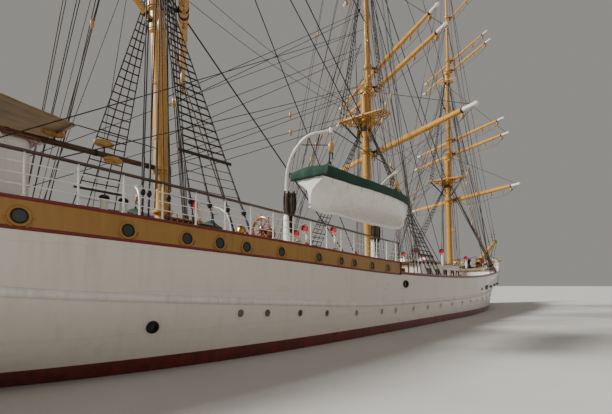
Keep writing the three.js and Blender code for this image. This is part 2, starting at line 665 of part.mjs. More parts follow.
// Axis of each length of a mast, forward of the lower mast's own.
const TOP_X = MAST_R + TOPMAST_R + DOUBLING;
const GALLANT_X = TOP_X + TOPMAST_R + GALLANT_R + 0.04;
const AXIS_X = { lower: 0, top: TOP_X, gallant: GALLANT_X };

const poleRadius = ({ gallantCap, truck }, z) =>
  GALLANT_R + (TRUCK_R - GALLANT_R) * Math.max(z - gallantCap, 0) / (truck - gallantCap);

function sparRadius(mast, on, z) {
  if (on === 'lower') return MAST_R;
  return on === 'top' ? TOPMAST_R : poleRadius(mast, z);
}

// The flange that a turning ring rests on.
const PARREL = 0.24;

function flange(radius, x, z) {
  const top = z - PARREL / 2 - GAP;
  const width = holeRadius(radius, 0.06, BAND_SIDES);
  return rod([x, 0, top - 0.06], [x, 0, top], width, width, BAND_SIDES);
}

const mastGroups = {};

function buildMast(mast) {
  const group = new THREE.Group();
  group.position.set(mast.x, 0, 0);
  group.rotation.y = -RAKE;
  ship.add(group);
  mastGroups[mast.name] = group;
  const yards = YARDS.filter((yard) => yard.mast === mast.name);
  const flanges = (on) => yards.filter((yard) => yard.on === on).map((yard) =>
    flange(sparRadius(mast, on, yard.height), AXIS_X[on], yard.height));

  const foot = deckZ(mast.deck, mast.x) - 0.4;
  const lower = turned([[0, foot], [FOOT_R, foot], [MAST_R, foot + 4], [MAST_R, mast.cap], [0, mast.cap]]);
  const platform = loft([mast.top - 0.12, mast.top].map((z) => [[-1.1, -1.1, z], [-1.1, 1.1, z],
    [-0.8, TOP_HALF, z], [0.3, TOP_HALF, z], [1.5, 0.75, z], [1.5, -0.75, z],
    [0.3, -TOP_HALF, z], [-0.8, -TOP_HALF, z]]));
  const cheeks = box(-0.6, 1.1, -0.34, 0.34, mast.top - 0.4, mast.top);
  const capBlock = cut(box(-0.36, TOP_X + 0.34, -0.34, 0.34, mast.cap - 0.24, mast.cap),
    rod([TOP_X, 0, 0], [TOP_X, 0, 30], TOPMAST_R + GAP, TOPMAST_R + GAP, MAST_SIDES));
  const jaws = mast.name === 'mizzen' ? [flange(MAST_R, 0, GAFF_Z), flange(MAST_R, 0, BOOM_Z)] : [];
  place(`${mast.name}_lower_mast`,
    standOn(mast.deck, join(lower, platform, cheeks, capBlock, flanges('lower'), jaws), group),
    OCHRE, [0, 0, 0], group);

  const heel = mast.top + GAP;
  const topmast = rod([TOP_X, 0, heel], [TOP_X, 0, mast.gallantCap], TOPMAST_R, TOPMAST_R, MAST_SIDES);
  const trees = loft([mast.trees - 0.1, mast.trees].map((z) => [[TOP_X - 0.5, -0.3, z],
    [TOP_X - 0.5, 0.3, z], [GALLANT_X + 0.25, 0.3, z], [GALLANT_X + 0.25, -0.3, z]]));
  const spreader = box(TOP_X - 0.42, TOP_X - 0.26, -1.05, 1.05, mast.trees - 0.1, mast.trees);
  const gallantCap = box(TOP_X - 0.25, GALLANT_X + 0.2, -0.24, 0.24, mast.gallantCap - 0.2, mast.gallantCap);
  const pole = rod([GALLANT_X, 0, mast.trees - 0.05], [GALLANT_X, 0, mast.truck], GALLANT_R, TRUCK_R, MAST_SIDES);
  place(`${mast.name}_upper_mast`,
    join(topmast, trees, spreader, gallantCap, pole, flanges('top'), flanges('gallant')),
    OCHRE, [0, 0, 0], group);
}

function buildYard(yard) {
  const mast = MASTS.find((each) => each.name === yard.mast);
  const reach = REACH[yard.on];
  const { half, radius, height } = yard;
  const profile = [[0, -half], [0.45 * radius, -half], [0.82 * radius, -0.55 * half], [radius, 0],
    [0.82 * radius, 0.55 * half], [0.45 * radius, half], [0, half]];
  const spar = turned(profile, 8).rotateX(-90 * DEG).translate(reach, 0, 0);
  const inner = holeRadius(sparRadius(mast, yard.on, height - PARREL), CLEAR);
  const parrel = ringOf(inner, inner + 0.08, -PARREL / 2, PARREL / 2);
  const truss = box(inner + 0.03, reach, -0.08, 0.08, -0.08, 0.08);
  const mesh = place(`${yard.mast}_${yard.name}_yard`, join(spar, parrel, truss), OCHRE,
    [AXIS_X[yard.on], 0, height], mastGroups[yard.mast]);
  mesh.rotation.z = -yard.brace * DEG;
}

// Boom and gaff turn on rings round the mizzen mast and point aft.
const GAFF_Z = 12.2;

function buildSpanker() {
  const inner = holeRadius(MAST_R, CLEAR);
  const jaw = () => ringOf(inner, inner + 0.14, -PARREL / 2, PARREL / 2);
  const spar = (length, radius, lift) => rod([-inner - 0.1, 0, 0],
    [-length * Math.cos(lift), 0, length * Math.sin(lift)], radius, 0.6 * radius, 8);
  const mizzen = mastGroups.mizzen;
  place('boom', join(jaw(), spar(BOOM_LENGTH, 0.16, RAKE)), TEAK, [0, 0, BOOM_Z], mizzen);
  place('gaff', join(jaw(), spar(GAFF_LENGTH, 0.13, GAFF_PEAK)), OCHRE, [0, 0, GAFF_Z], mizzen);
}

// A place given in a raked mast's own frame, in the ship's.
const onMast = ({ x }, dx, y, z) => [
  x + dx * Math.cos(RAKE) - z * Math.sin(RAKE), y, dx * Math.sin(RAKE) + z * Math.cos(RAKE)];

const CHANNEL_INSET = 0.29;
const FEET = 0.7; // spacing of the shrouds at the ship's side

// The bar at the ship's side that a row of shrouds is set up to.
function channel(from, to, side) {
  const path = [from, to].map((x) => {
    const edge = edgeAt(x);
    const inset = x < BREAK_AFT ? CHANNEL_INSET : BULWARK / 2;
    return [x, side * (edge.deckHalf - inset), edge.top + GAP + 0.04];
  });
  return bar(path, 0.09, 0.08);
}

const footAt = (x, side) => {
  const edge = edgeAt(x);
  const inset = x < BREAK_AFT ? CHANNEL_INSET : BULWARK / 2;
  return [x, side * (edge.deckHalf - inset), edge.top + 0.06];
};

// A wire is a three-sided bar here, thick enough to be a solid.
const wire = (a, b) => rod(a, b, WIRE_R, WIRE_R, 3);

const LOWER_SHROUDS = 4;
const BACKSTAYS = 3;
// Each mast's backstays: how far the first stands aft of the last lower shroud, and their spacing
const BACKSTAY_FEET = { mizzen: [0.5, 0.35], main: [1, 0.5], fore: [1, 0.5] };

// Where each mast's stays come down. Columns: mast, then the foot of the lower, topmast,
// topgallant and royal stay.
const STAYS = {
  mizzen: () => [onMast(MASTS[1], -0.5, 0, 5.4), onMast(MASTS[1], -0.42, 0, 12.6),
    onMast(MASTS[1], TOP_X - 0.3, 0, 21), onMast(MASTS[1], TOP_X - 0.3, 0, 24.4)],
  main: () => [onMast(MASTS[2], -0.5, 0, 4.4), onMast(MASTS[2], -0.42, 0, 11.7),
    onMast(MASTS[2], TOP_X - 0.3, 0, 20), onMast(MASTS[2], TOP_X - 0.3, 0, 23.2)],
  fore: () => [0.34, 0.66, 0.86, 0.985].map((t) => SPRIT_HEEL.clone().lerp(SPRIT_TIP, t)
    .add(new THREE.Vector3(0, 0, SPRIT_R + 0.03)).toArray()),
};

function collar(mast, on, z, radius) {
  const inner = holeRadius(radius, GAP, BAND_SIDES);
  const band = ringOf(inner, inner + 0.06, -0.07, 0.07, BAND_SIDES).translate(AXIS_X[on], 0, z);
  return band.rotateY(-RAKE).translate(mast.x, 0, 0);
}

function buildRigging(mast) {
  const [lowerStay, topStay, gallantStay, royalStay] = STAYS[mast.name]();
  const first = mast.x - 0.35;
  const feet = Array.from({ length: LOWER_SHROUDS }, (_, i) => first - i * FEET);
  const lower = SIDES.flatMap((side) => [
    channel(feet[0] + 0.15, feet[LOWER_SHROUDS - 1] - 0.15, side),
    ...feet.map((x) => wire(onMast(mast, 0, side * (MAST_R + 0.05), mast.hounds), footAt(x, side))),
  ]);
  place(`${mast.name}_lower_rigging`, join(collar(mast, 'lower', mast.hounds, MAST_R), lower,
    wire(onMast(mast, MAST_R + 0.05, 0, mast.hounds), lowerStay)), WIRE);

  const [start, pitch] = BACKSTAY_FEET[mast.name];
  const backs = Array.from({ length: BACKSTAYS }, (_, i) => feet[LOWER_SHROUDS - 1] - start - i * pitch);
  const topBand = TOPMAST_R + 0.05;
  const crosstrees = onMast(mast, TOP_X, 0, mast.trees + 0.1);
  const hounds = (side, z, on, r) => onMast(mast, AXIS_X[on] - 0.04, side * r, z);
  const gallantR = poleRadius(mast, mast.gallant) + 0.04;
  const royalR = poleRadius(mast, mast.royal) + 0.04;
  const upper = SIDES.flatMap((side) => [
    channel(backs[0] + 0.15, backs[BACKSTAYS - 1] - 0.15, side),
    wire(hounds(side, mast.trees - 0.3, 'top', topBand), footAt(backs[0], side)),
    wire(hounds(side, mast.gallant, 'gallant', gallantR), footAt(backs[1], side)),
    wire(hounds(side, mast.royal, 'gallant', royalR), footAt(backs[2], side)),
    ...[-0.3, -0.75].map((dx) => wire(hounds(side, mast.trees - 0.3, 'top', topBand),
      onMast(mast, dx, side * (TOP_HALF - 0.15), mast.top + 0.05))),
    bar([[-0.1, 0, 0], [-0.95, 0, 0]].map(([dx]) =>
      onMast(mast, dx, side * (TOP_HALF - 0.15), mast.top + GAP + 0.045)), 0.08, 0.07),
  ]);
  place(`${mast.name}_upper_rigging`, join(
    collar(mast, 'top', mast.trees - 0.3, TOPMAST_R),
    collar(mast, 'gallant', mast.gallant, poleRadius(mast, mast.gallant)),
    collar(mast, 'gallant', mast.royal, poleRadius(mast, mast.royal)),
    upper,
    wire(onMast(mast, TOP_X + topBand, 0, mast.trees - 0.3), topStay),
    wire(onMast(mast, GALLANT_X + gallantR, 0, mast.gallant), gallantStay),
    wire(onMast(mast, GALLANT_X + royalR, 0, mast.royal), royalStay)), WIRE);
}

// The ship's boats. Columns: share of the length from the transom, half breadth and keel rise as
// shares of the boat's own, sheer.
const BOAT_STATIONS = [[0, 0.62, 0.45, 0.06], [0.12, 0.8, 0.12, 0.02], [0.35, 0.97, 0, 0],
  [0.6, 1, 0, 0.02], [0.8, 0.78, 0.02, 0.08], [0.93, 0.38, 0.12, 0.16], [1, 0.05, 0.4, 0.22]];

function boatRing([share, breadth, rise, sheer], y0) {
  const x = BOAT_AFT + share * BOAT_LENGTH;
  const half = BOAT_HALF * breadth;
  const keel = BOAT_KEEL_Z + rise * 0.8;
  const gunwale = BOAT_KEEL_Z + BOAT_DEPTH + sheer;
  const side = [[0.3, 0.1], [0.72, 0.34], [0.94, 0.68], [1, 1]].map(([b, h]) =>
    [half * b, keel + h * (gunwale - keel)]);
  return [...side.map(([y, z]) => [x, y0 + y, z]).reverse(), [x, y0, keel],
    ...side.map(([y, z]) => [x, y0 - y, z])];
}

function coverRing([share, breadth, , sheer], y0) {
  const x = BOAT_AFT + share * BOAT_LENGTH;
  const half = BOAT_HALF * breadth;
  const z = BOAT_KEEL_Z + BOAT_DEPTH + sheer + GAP;
  const ridge = 0.06 + 0.22 * breadth;
  return [[half, 0], [half, 0.04], [half * 0.5, 0.6 * ridge], [0, ridge], [-half * 0.5, 0.6 * ridge],
    [-half, 0.04], [-half, 0]].map(([y, h]) => [x, y0 + y, z + h]);
}

const DAVIT_FEET = [-14.8, -9.0];
const DAVIT_HEADS = [-14.55, -9.35];

function buildBoats() {
  for (const [side, name] of [[-1, 'starboard'], [1, 'port']]) {
    const y0 = side * BOAT_Y;
    const arms = DAVIT_FEET.map((x, i) => {
      const edge = edgeAt(x);
      const y = side * (edge.deckHalf - CHANNEL_INSET);
      const head = DAVIT_HEADS[i];
      return tube([[x, y, edge.top - 0.05], [x, y, 4.9], [x, y, 6.1],
        [x + (head - x) * 0.15, y + side * 0.22, 6.85],
        [x + (head - x) * 0.6, y + side * 0.72, 7.27], [head, y0, DAVIT_TOP_Z]], DAVIT_R, 9, 5);
    });
    const falls = DAVIT_HEADS.map((x) => rod([x, y0, BOAT_KEEL_Z + 0.9], [x, y0, DAVIT_TOP_Z], 0.05, 0.05, 5));
    const span = rod([DAVIT_HEADS[0], y0, DAVIT_TOP_Z], [DAVIT_HEADS[1], y0, DAVIT_TOP_Z], 0.03, 0.03, 4);
    const boat = loft(BOAT_STATIONS.map((row) => boatRing(row, y0)));
    const raised = boat.clone().translate(0, 0, GAP);
    place(`davits_${name}`, cut(join(arms, falls, span), raised, UNDER_EDGE), WHITE);
    place(`boat_${name}`, boat, BOAT_WHITE);
    const holes = DAVIT_HEADS.map((x) => rod([x, y0, 5], [x, y0, 8], 0.06, 0.06, 6));
    place(`boat_cover_${name}`, cut(loft(BOAT_STATIONS.map((row) => coverRing(row, y0))), holes), COVER);
  }
}

// The awning lies on a ridge pole and four spreaders, clear above the boom.
const AWNING_THICKNESS = 0.03;

function awningSection(x, low, high) {
  const outline = [[AWNING_HALF, AWNING_EDGE_Z], [0, AWNING_RIDGE_Z], [-AWNING_HALF, AWNING_EDGE_Z]];
  return [...outline.map(([y, z]) => [x, y, z + low]),
    ...outline.reverse().map(([y, z]) => [x, y, z + high])];
}

function buildAwning() {
  place('awning', loft([AWNING_AFT, AWNING_FORE].map((x) => awningSection(x, 0, AWNING_THICKNESS))), CANVAS);
  const top = -GAP;
  const spreaders = [AWNING_FORE - 0.1, -23, -25.3, AWNING_AFT + 0.1].map((x) =>
    loft([x - 0.04, x + 0.04].map((at) => awningSection(at, top - 0.07, top))));
  const mastX = onMast(MASTS[0], -MAST_R - GAP - 0.008, 0, AWNING_RIDGE_Z - 0.1)[0];
  const postX = -29.55;
  const pole = box(postX, mastX, -0.05, 0.05, AWNING_RIDGE_Z - 0.14, AWNING_RIDGE_Z - 0.06);
  const post = box(postX, postX + 0.12, -0.06, 0.06, deckZ('quarter', postX) - 0.2, AWNING_RIDGE_Z - 0.06);
  place('awning_frame', standOn('quarter', join(spreaders, pole, post)), TEAK);
}

buildHull();
buildHouses();
buildHelm();
buildForecastle();
buildSternGear();
MASTS.forEach(buildMast);
YARDS.forEach(buildYard);
MASTS.forEach(buildRigging);
buildSpanker();
buildBoats();
buildAwning();

ship.scale.setScalar(MM_PER_METRE);

export default ship;
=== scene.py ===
"""Full-rigged ship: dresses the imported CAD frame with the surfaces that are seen.

All sizes below are metres of the real ship, with X forward, Y to port and Z up from the waterline
amidships.
"""
import math

import bmesh
import bpy
import numpy as np
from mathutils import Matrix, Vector


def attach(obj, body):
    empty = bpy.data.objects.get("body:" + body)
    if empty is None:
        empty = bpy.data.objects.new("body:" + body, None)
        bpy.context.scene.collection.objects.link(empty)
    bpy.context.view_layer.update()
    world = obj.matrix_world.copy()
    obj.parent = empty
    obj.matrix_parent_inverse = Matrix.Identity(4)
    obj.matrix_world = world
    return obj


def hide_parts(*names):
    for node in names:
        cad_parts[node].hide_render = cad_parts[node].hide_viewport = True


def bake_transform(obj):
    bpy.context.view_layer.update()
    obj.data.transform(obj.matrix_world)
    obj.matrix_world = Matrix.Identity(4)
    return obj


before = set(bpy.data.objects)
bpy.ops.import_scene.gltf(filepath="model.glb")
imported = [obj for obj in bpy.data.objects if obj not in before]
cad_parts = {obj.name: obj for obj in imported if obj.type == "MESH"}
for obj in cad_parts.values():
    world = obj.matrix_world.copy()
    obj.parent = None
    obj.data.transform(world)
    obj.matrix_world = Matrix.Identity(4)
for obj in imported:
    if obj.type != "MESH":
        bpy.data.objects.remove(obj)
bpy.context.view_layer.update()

bl_info = {
    "name": "Full-rigged ship",
    "version": (1, 0, 0),
    "blender": (4, 5, 0),
    "location": "View3D > Sidebar > Ship",
    "description": "Builds the hull, decks, spars, rigging and boats of a full-rigged ship",
    "category": "Add Mesh",
}

SCALE = 0.5
# Distance at which points are merged, and the scale of the canvas's threads.
WELD, WEAVE = 2e-4, 420.0
# The camera, in the model's metres: place, focal length, shift upwards, tilt and turn in degrees.
CAMERA, LENS, SHIFT, TILT, TURN = (-12.735, -6.975, 1.125), 23.47, .107, 91.8, -51.7

# Hull lines. Columns: place along the ship, height.
SHEER = [(-30.25, 3.62), (-23.3, 3.37), (-14.8, 3.06), (-8, 2.8), (0, 2.7), (8, 2.86), (16, 3.35),
         (22, 3.95), (27.5, 4.65), (30.25, 5.1)]
STRAKE = [(-30.25, 2.95), (-23.3, 2.14), (-14.8, 1.64), (-9.9, 1.41), (-1.1, 1.36), (8, 1.46),
          (16, 1.8), (24, 2.45), (30.25, 3.2)]
# Columns: place, height of the bottom, half breadth at the strake, fullness, half breadth of the deck.
STATIONS = [
    (-30.25, 2.5, .5, 2, .75), (-29.9, 2.2, 1.45, 2, 1.7), (-29.2, 1.75, 2.35, 2, 2.65),
    (-27.9, 1.05, 3.3, 2, 3.6), (-26, .2, 4, 1.9, 4.2), (-24, -.6, 4.4, 1.8, 4.55),
    (-21.6, -1.5, 4.72, 1.8, 4.82), (-16, -3.3, 5.08, 2.1, 5.12), (-11, -4.1, 5.2, 2.5, 5.22),
    (-6.75, -4.4, 5.25, 2.8, 5.25), (0, -4.5, 5.25, 3, 5.25), (6, -4.5, 5.2, 2.7, 5.25),
    (12.5, -4.4, 4.65, 2, 4.95), (17.5, -4.2, 3.75, 1.6, 4.4), (21, -4, 2.85, 1.35, 3.7),
    (24, -3.4, 1.9, 1.25, 2.85), (26.4, -2, 1.1, 1.2, 1.95), (28.2, .9, .55, 1.2, 1.15),
    (29.3, 2.7, .25, 1.2, .6), (30.1, 4.1, .1, 1.2, .18)]
STERN, BREAK_AFT, BREAK_FORE, STEM = -30.25, -6.75, 17.5, 30.1
# Heights of the band and of the edge over the sheer, thickness of the bulwark, depth of the main deck
# under the sheer, thickness of the planking, width of the decks' bare margin.
BAND, EDGE, BULWARK, WELL, PLANK, MARGIN = .64, .1, .12, 1.15, .08, .42

# Masts. Columns: place, deck, hounds, top, cap, crosstrees, topgallant cap, collars, truck.
RAKE = math.radians(2.5)
MASTS = {name: dict(zip(("x", "deck", "hounds", "top", "cap", "trees", "gallant_cap", "gallant",
                         "royal", "truck"), row)) for name, row in {
    "mizzen": (-16.57, "quarter", 13.95, 14.5, 16.6, 23.4, 24.7, 28.4, 33.2, 38),
    "main": (-.48, "main", 13.2, 14, 15.95, 25, 26.1, 31.2, 38.4, 45.8),
    "fore": (16.52, "main", 12.5, 13.2, 15.5, 23.6, 24.5, 29.5, 35.6, 42)}.items()}
# Radii of the masts, places of their lengths ahead of the lower one's axis, how far ahead of each the
# yards hang, half breadth of the tops.
MAST_R, TOPMAST_R, GALLANT_R = .28, .21, .15
AXIS = {"lower": 0, "top": .55, "gallant": .95}
REACH = {"lower": .98, "top": .78, "gallant": .52}
TOP_HALF = 1.8
# Height of the boom and the gaff, and how far under a spar its collar on the mast sits.
BOOM_Z, GAFF_Z, SEAT = 6.75, 12.2, .132
# Yards. Columns: mast, name, height, half length, radius, brace in degrees, length of mast it is on.
YARDS = [
    ("fore", "course", 11.1, 8.1, .21, 33, "lower"),
    ("fore", "lower_topsail", 16.05, 6.9, .17, 31, "top"),
    ("fore", "upper_topsail", 17.5, 6.5, .16, 32, "top"),
    ("fore", "lower_topgallant", 24.95, 5.9, .13, 38, "gallant"),
    ("fore", "upper_topgallant", 25.95, 5.5, .12, 38, "gallant"),
    ("fore", "royal", 30.5, 4.5, .1, 40, "gallant"),
    ("main", "course", 11.7, 9, .22, 28, "lower"),
    ("main", "lower_topsail", 16.45, 7.8, .18, 34, "top"),
    ("main", "upper_topsail", 17.8, 7.3, .17, 35, "top"),
    ("main", "lower_topgallant", 26.55, 6.3, .14, 37, "gallant"),
    ("main", "upper_topgallant", 27.65, 5.9, .13, 38, "gallant"),
    ("main", "royal", 32.5, 4.8, .11, 40, "gallant"),
    ("mizzen", "crossjack", 13.05, 7.5, .18, 34, "lower"),
    ("mizzen", "lower_topsail", 17.1, 6.5, .16, 34, "top"),
    ("mizzen", "upper_topsail", 18.3, 6, .15, 35, "top"),
    ("mizzen", "topgallant", 25.2, 4.9, .12, 37, "gallant"),
    ("mizzen", "royal", 29.4, 3.9, .09, 38, "gallant")]
# Place of the first post of the guard rails.
FIRST_POST = -29.585
# Backstays: their feet, aft of the last shroud.
BACKSTAYS = {"mizzen": (.75, 1.31, 1.47), "main": (1, 1.5, 2), "fore": (1, 1.5, 2)}
HEEL, TIP = np.array([26.9, 0, 4.98]), np.array([35.6, 0, 8.45])

# Cowl ventilators: deck, place, distance off the centreline, height. Bitts: deck, place, distance.
VENTS = [("quarter", -17.05, 2.5, 5.2), ("quarter", -11.6, 2.5, 4.75), ("quarter", -10.95, 2.5, 5.05),
         ("quarter", -8.62, 2.5, 5.22),
         ("main", 1.8, 2.5, 4.9), ("main", 5, 3.2, 5), ("main", 14.1, 2.3, 5),
         ("forecastle", 18.8, 2.6, 4.9)]
BITTS = [("quarter", -27.2, 2.7), ("quarter", -20.5, 3.7), ("main", -5.2, 4.3),
         ("main", 14.6, 4), ("forecastle", 20.4, 2.5)]
# Portholes: places along the band, and along the hull under the rubbing strake.
BAND_PORTS = [-28.2, -26.6, -25, -22.84, -20.73, -19.17, -18.12, -17.13, -15.62, -13.59, -12.13,
              -11.15, -9.67, -8.17]
HULL_PORTS = [-17.3, -16.21, -14.63, -13.07, -10.98, -8.8, -7.37, -5.27, -3.27, -1.2, .9, 3, 5.1,
              7.2, 9.3, 11.4, 13.5, 15.6]

# Boats: distance off the centreline, after end, length, half breadth, height of the keel, depth of the
# boat; places of the lifting hooks.
BOAT_Y, BOAT_AFT, BOAT_LONG, BOAT_HALF, BOAT_KEEL, BOAT_DEEP = 6.3, -15.6, 6.9, .97, 4.69, 1.12
HOOKS = np.array([-14.5, -9.45])
# Boat sections: share of the length, half breadth and keel rise as shares, sheer.
BOAT = [(0, .62, .45, .06), (.12, .8, .12, .02), (.35, .97, 0, 0), (.6, 1, 0, .01),
        (.8, .82, .02, .02), (.93, .45, .12, .05), (1, .07, .4, .08)]
# Davits: place of the foot, place of the head, height of the head above the usual one.
DAVITS = [(-15.03, -14.42, .15), (-9.0, -9.4, -.15)]
DAVIT_TOP = 7.35
# Places of the capstan, the wheel with its height, and the compass stand.
CAPSTAN_X, WHEEL_X, WHEEL_Z, COMPASS_X = 22.4, -11.4, 5.0, -12.7
# Houses: deck, after end, fore end, half breadth, height, places of the windows.
HOUSES = {
    "chart_house": ("quarter", -27, -21.8, 1.9, 1.95, (-25.9, -24.4, -22.9)),
    "deck_house": ("main", 3.2, 12.2, 2.3, 2.25, (4.6, 6.4, 8.2, 10, 11.4))}


def xyz(x, y, z):
    """Points from their three coordinates, spread to one shape."""
    return np.stack(np.broadcast_arrays(x, y, z), -1).astype(float)


def along(table, x):
    """Smooth curve y(x) through rows (x, y, ...): cubic Hermite, with a slope of (next - last) over
    the distance between them."""
    rows = np.asarray(table, float)
    k, v = rows[:, 0], rows[:, 1:]
    low, high = np.maximum(np.arange(len(k)) - 1, 0), np.minimum(np.arange(len(k)) + 1, len(k) - 1)
    slope = (v[high] - v[low]) / (k[high] - k[low])[:, None]
    x = np.clip(np.asarray(x, float), k[0], k[-1])
    i = np.clip(np.searchsorted(k, x, side="right") - 1, 0, len(k) - 2)
    h = (k[i + 1] - k[i])[..., None]
    t = (x - k[i])[..., None] / h
    y = (v[i] * (1 + 2 * t) * (1 - t) ** 2 + v[i + 1] * t * t * (3 - 2 * t)
         + h * t * (1 - t) * (slope[i] * (1 - t) - slope[i + 1] * t))
    return y[..., 0] if v.shape[1] == 1 else y


def sheer(x):
    """Height of the deck's edge at a place."""
    return along(SHEER, x)


def deck_half(x):
    """Half breadth at the deck's edge at a place."""
    return along(STATIONS, x)[..., 3]


def hull_top(x):
    """Height of the top of the side: the sheer and the band or edge that stands on it."""
    return sheer(x) + np.where(np.asarray(x) <= BREAK_AFT, BAND, EDGE)


def deck_z(name, x):
    """Height of the planking of a deck at a place."""
    return sheer(x) + {"quarter": BAND, "main": -WELL, "forecastle": EDGE}[name] + PLANK


def strake_z(x):
    """Height of the rubbing strake, at least .35 of the way from the bottom to the sheer."""
    bottom = along(STATIONS, x)[..., 0]
    return np.maximum(along(STRAKE, x), bottom + .35 * (sheer(x) - bottom))


def hull_out(x, z):
    """Half breadth of the hull at a place and height: y = half (1 - (1 - s)^f)^(1/f), where s is the
    share of the height up to the strake, and a straight line from there to the deck's edge."""
    bottom, half, full, deck = np.moveaxis(along(STATIONS, x), -1, 0)
    strake = strake_z(x)
    s = np.clip((z - bottom) / (strake - bottom), 0, 1)
    low = half * (1 - (1 - s) ** full) ** (1 / full)
    high = half + (deck - half) * np.clip((z - strake) / (sheer(x) - strake), 0, 1)
    return np.where(z > strake, high, low)


def edge_path(start, end, inset=0.0, lift=0.0, step=.5):
    """Points along the port edge of the hull from start to end."""
    x = np.linspace(start, end, max(int(abs(end - start) / step), 2) + 1)
    same_side = np.clip(x, STERN, BREAK_AFT) if end <= BREAK_AFT else np.maximum(x, BREAK_AFT + .001)
    return xyz(x, deck_half(x) - inset, hull_top(same_side) + lift)


def on_mast(mast, dx, y, z):
    """A point in a raked mast's own frame, in the ship's: turned about y by the rake."""
    c, s = math.cos(RAKE), math.sin(RAKE)
    dx, z = np.asarray(dx, float), np.asarray(z, float)
    return xyz(MASTS[mast]["x"] + dx * c - z * s, y, dx * s + z * c)


def circle(radius, sides):
    """Points (r cos u, r sin u) round a circle, without the last, which is the first."""
    u = np.linspace(0, 2 * np.pi, sides, endpoint=False)
    return np.stack([radius * np.cos(u), radius * np.sin(u)], -1)


def rounded(width, height, corner=.3, steps=3):
    """Closed rectangle with round corners of a share of the shorter side."""
    r = corner * min(width, height)
    u = np.linspace(0, np.pi / 2, steps)
    arcs = [np.stack([r * np.cos(u + q), r * np.sin(u + q)], -1) + centre for q, centre in zip(
        np.arange(4) * np.pi / 2, np.array([(1, 1), (-1, 1), (-1, -1), (1, -1)])
        * ((width / 2 - r), (height / 2 - r)))]
    return np.concatenate(arcs)


def turned(a):
    """Axes turned to starboard by an angle."""
    return np.array([[math.cos(a), math.sin(a), 0], [-math.sin(a), math.cos(a), 0], [0, 0, 1]])


def sagging(start, end, sag, steps=8):
    """Rope between two points, or batches of them: straight line minus 4 sag t (1 - t) in height."""
    start, end = np.atleast_2d(start).astype(float), np.atleast_2d(end).astype(float)
    t = np.linspace(0, 1, steps)[None, :, None]
    path = start[:, None] * (1 - t) + end[:, None] * t
    path[..., 2] -= (4 * np.asarray(sag) * t * (1 - t))[..., 0]
    return path


def hoop(radius, at, proud, half, edge=.01):
    """Profile (r, h) of a raised band round a bar, with both edges bevelled."""
    out = radius + proud
    return [(radius, at - half), (out, at - half + edge), (out, at + half - edge), (radius, at + half)]


def collar(radius, thick, half, edge):
    """Closed profile (r, h) of a ring that turns on a mast, with its outer corners cut."""
    out = radius + thick
    return [(radius, -half), (out - edge, -half), (out, .02 - half), (out, half - .02), (out - edge, half),
            (radius, half), (radius, -half)]


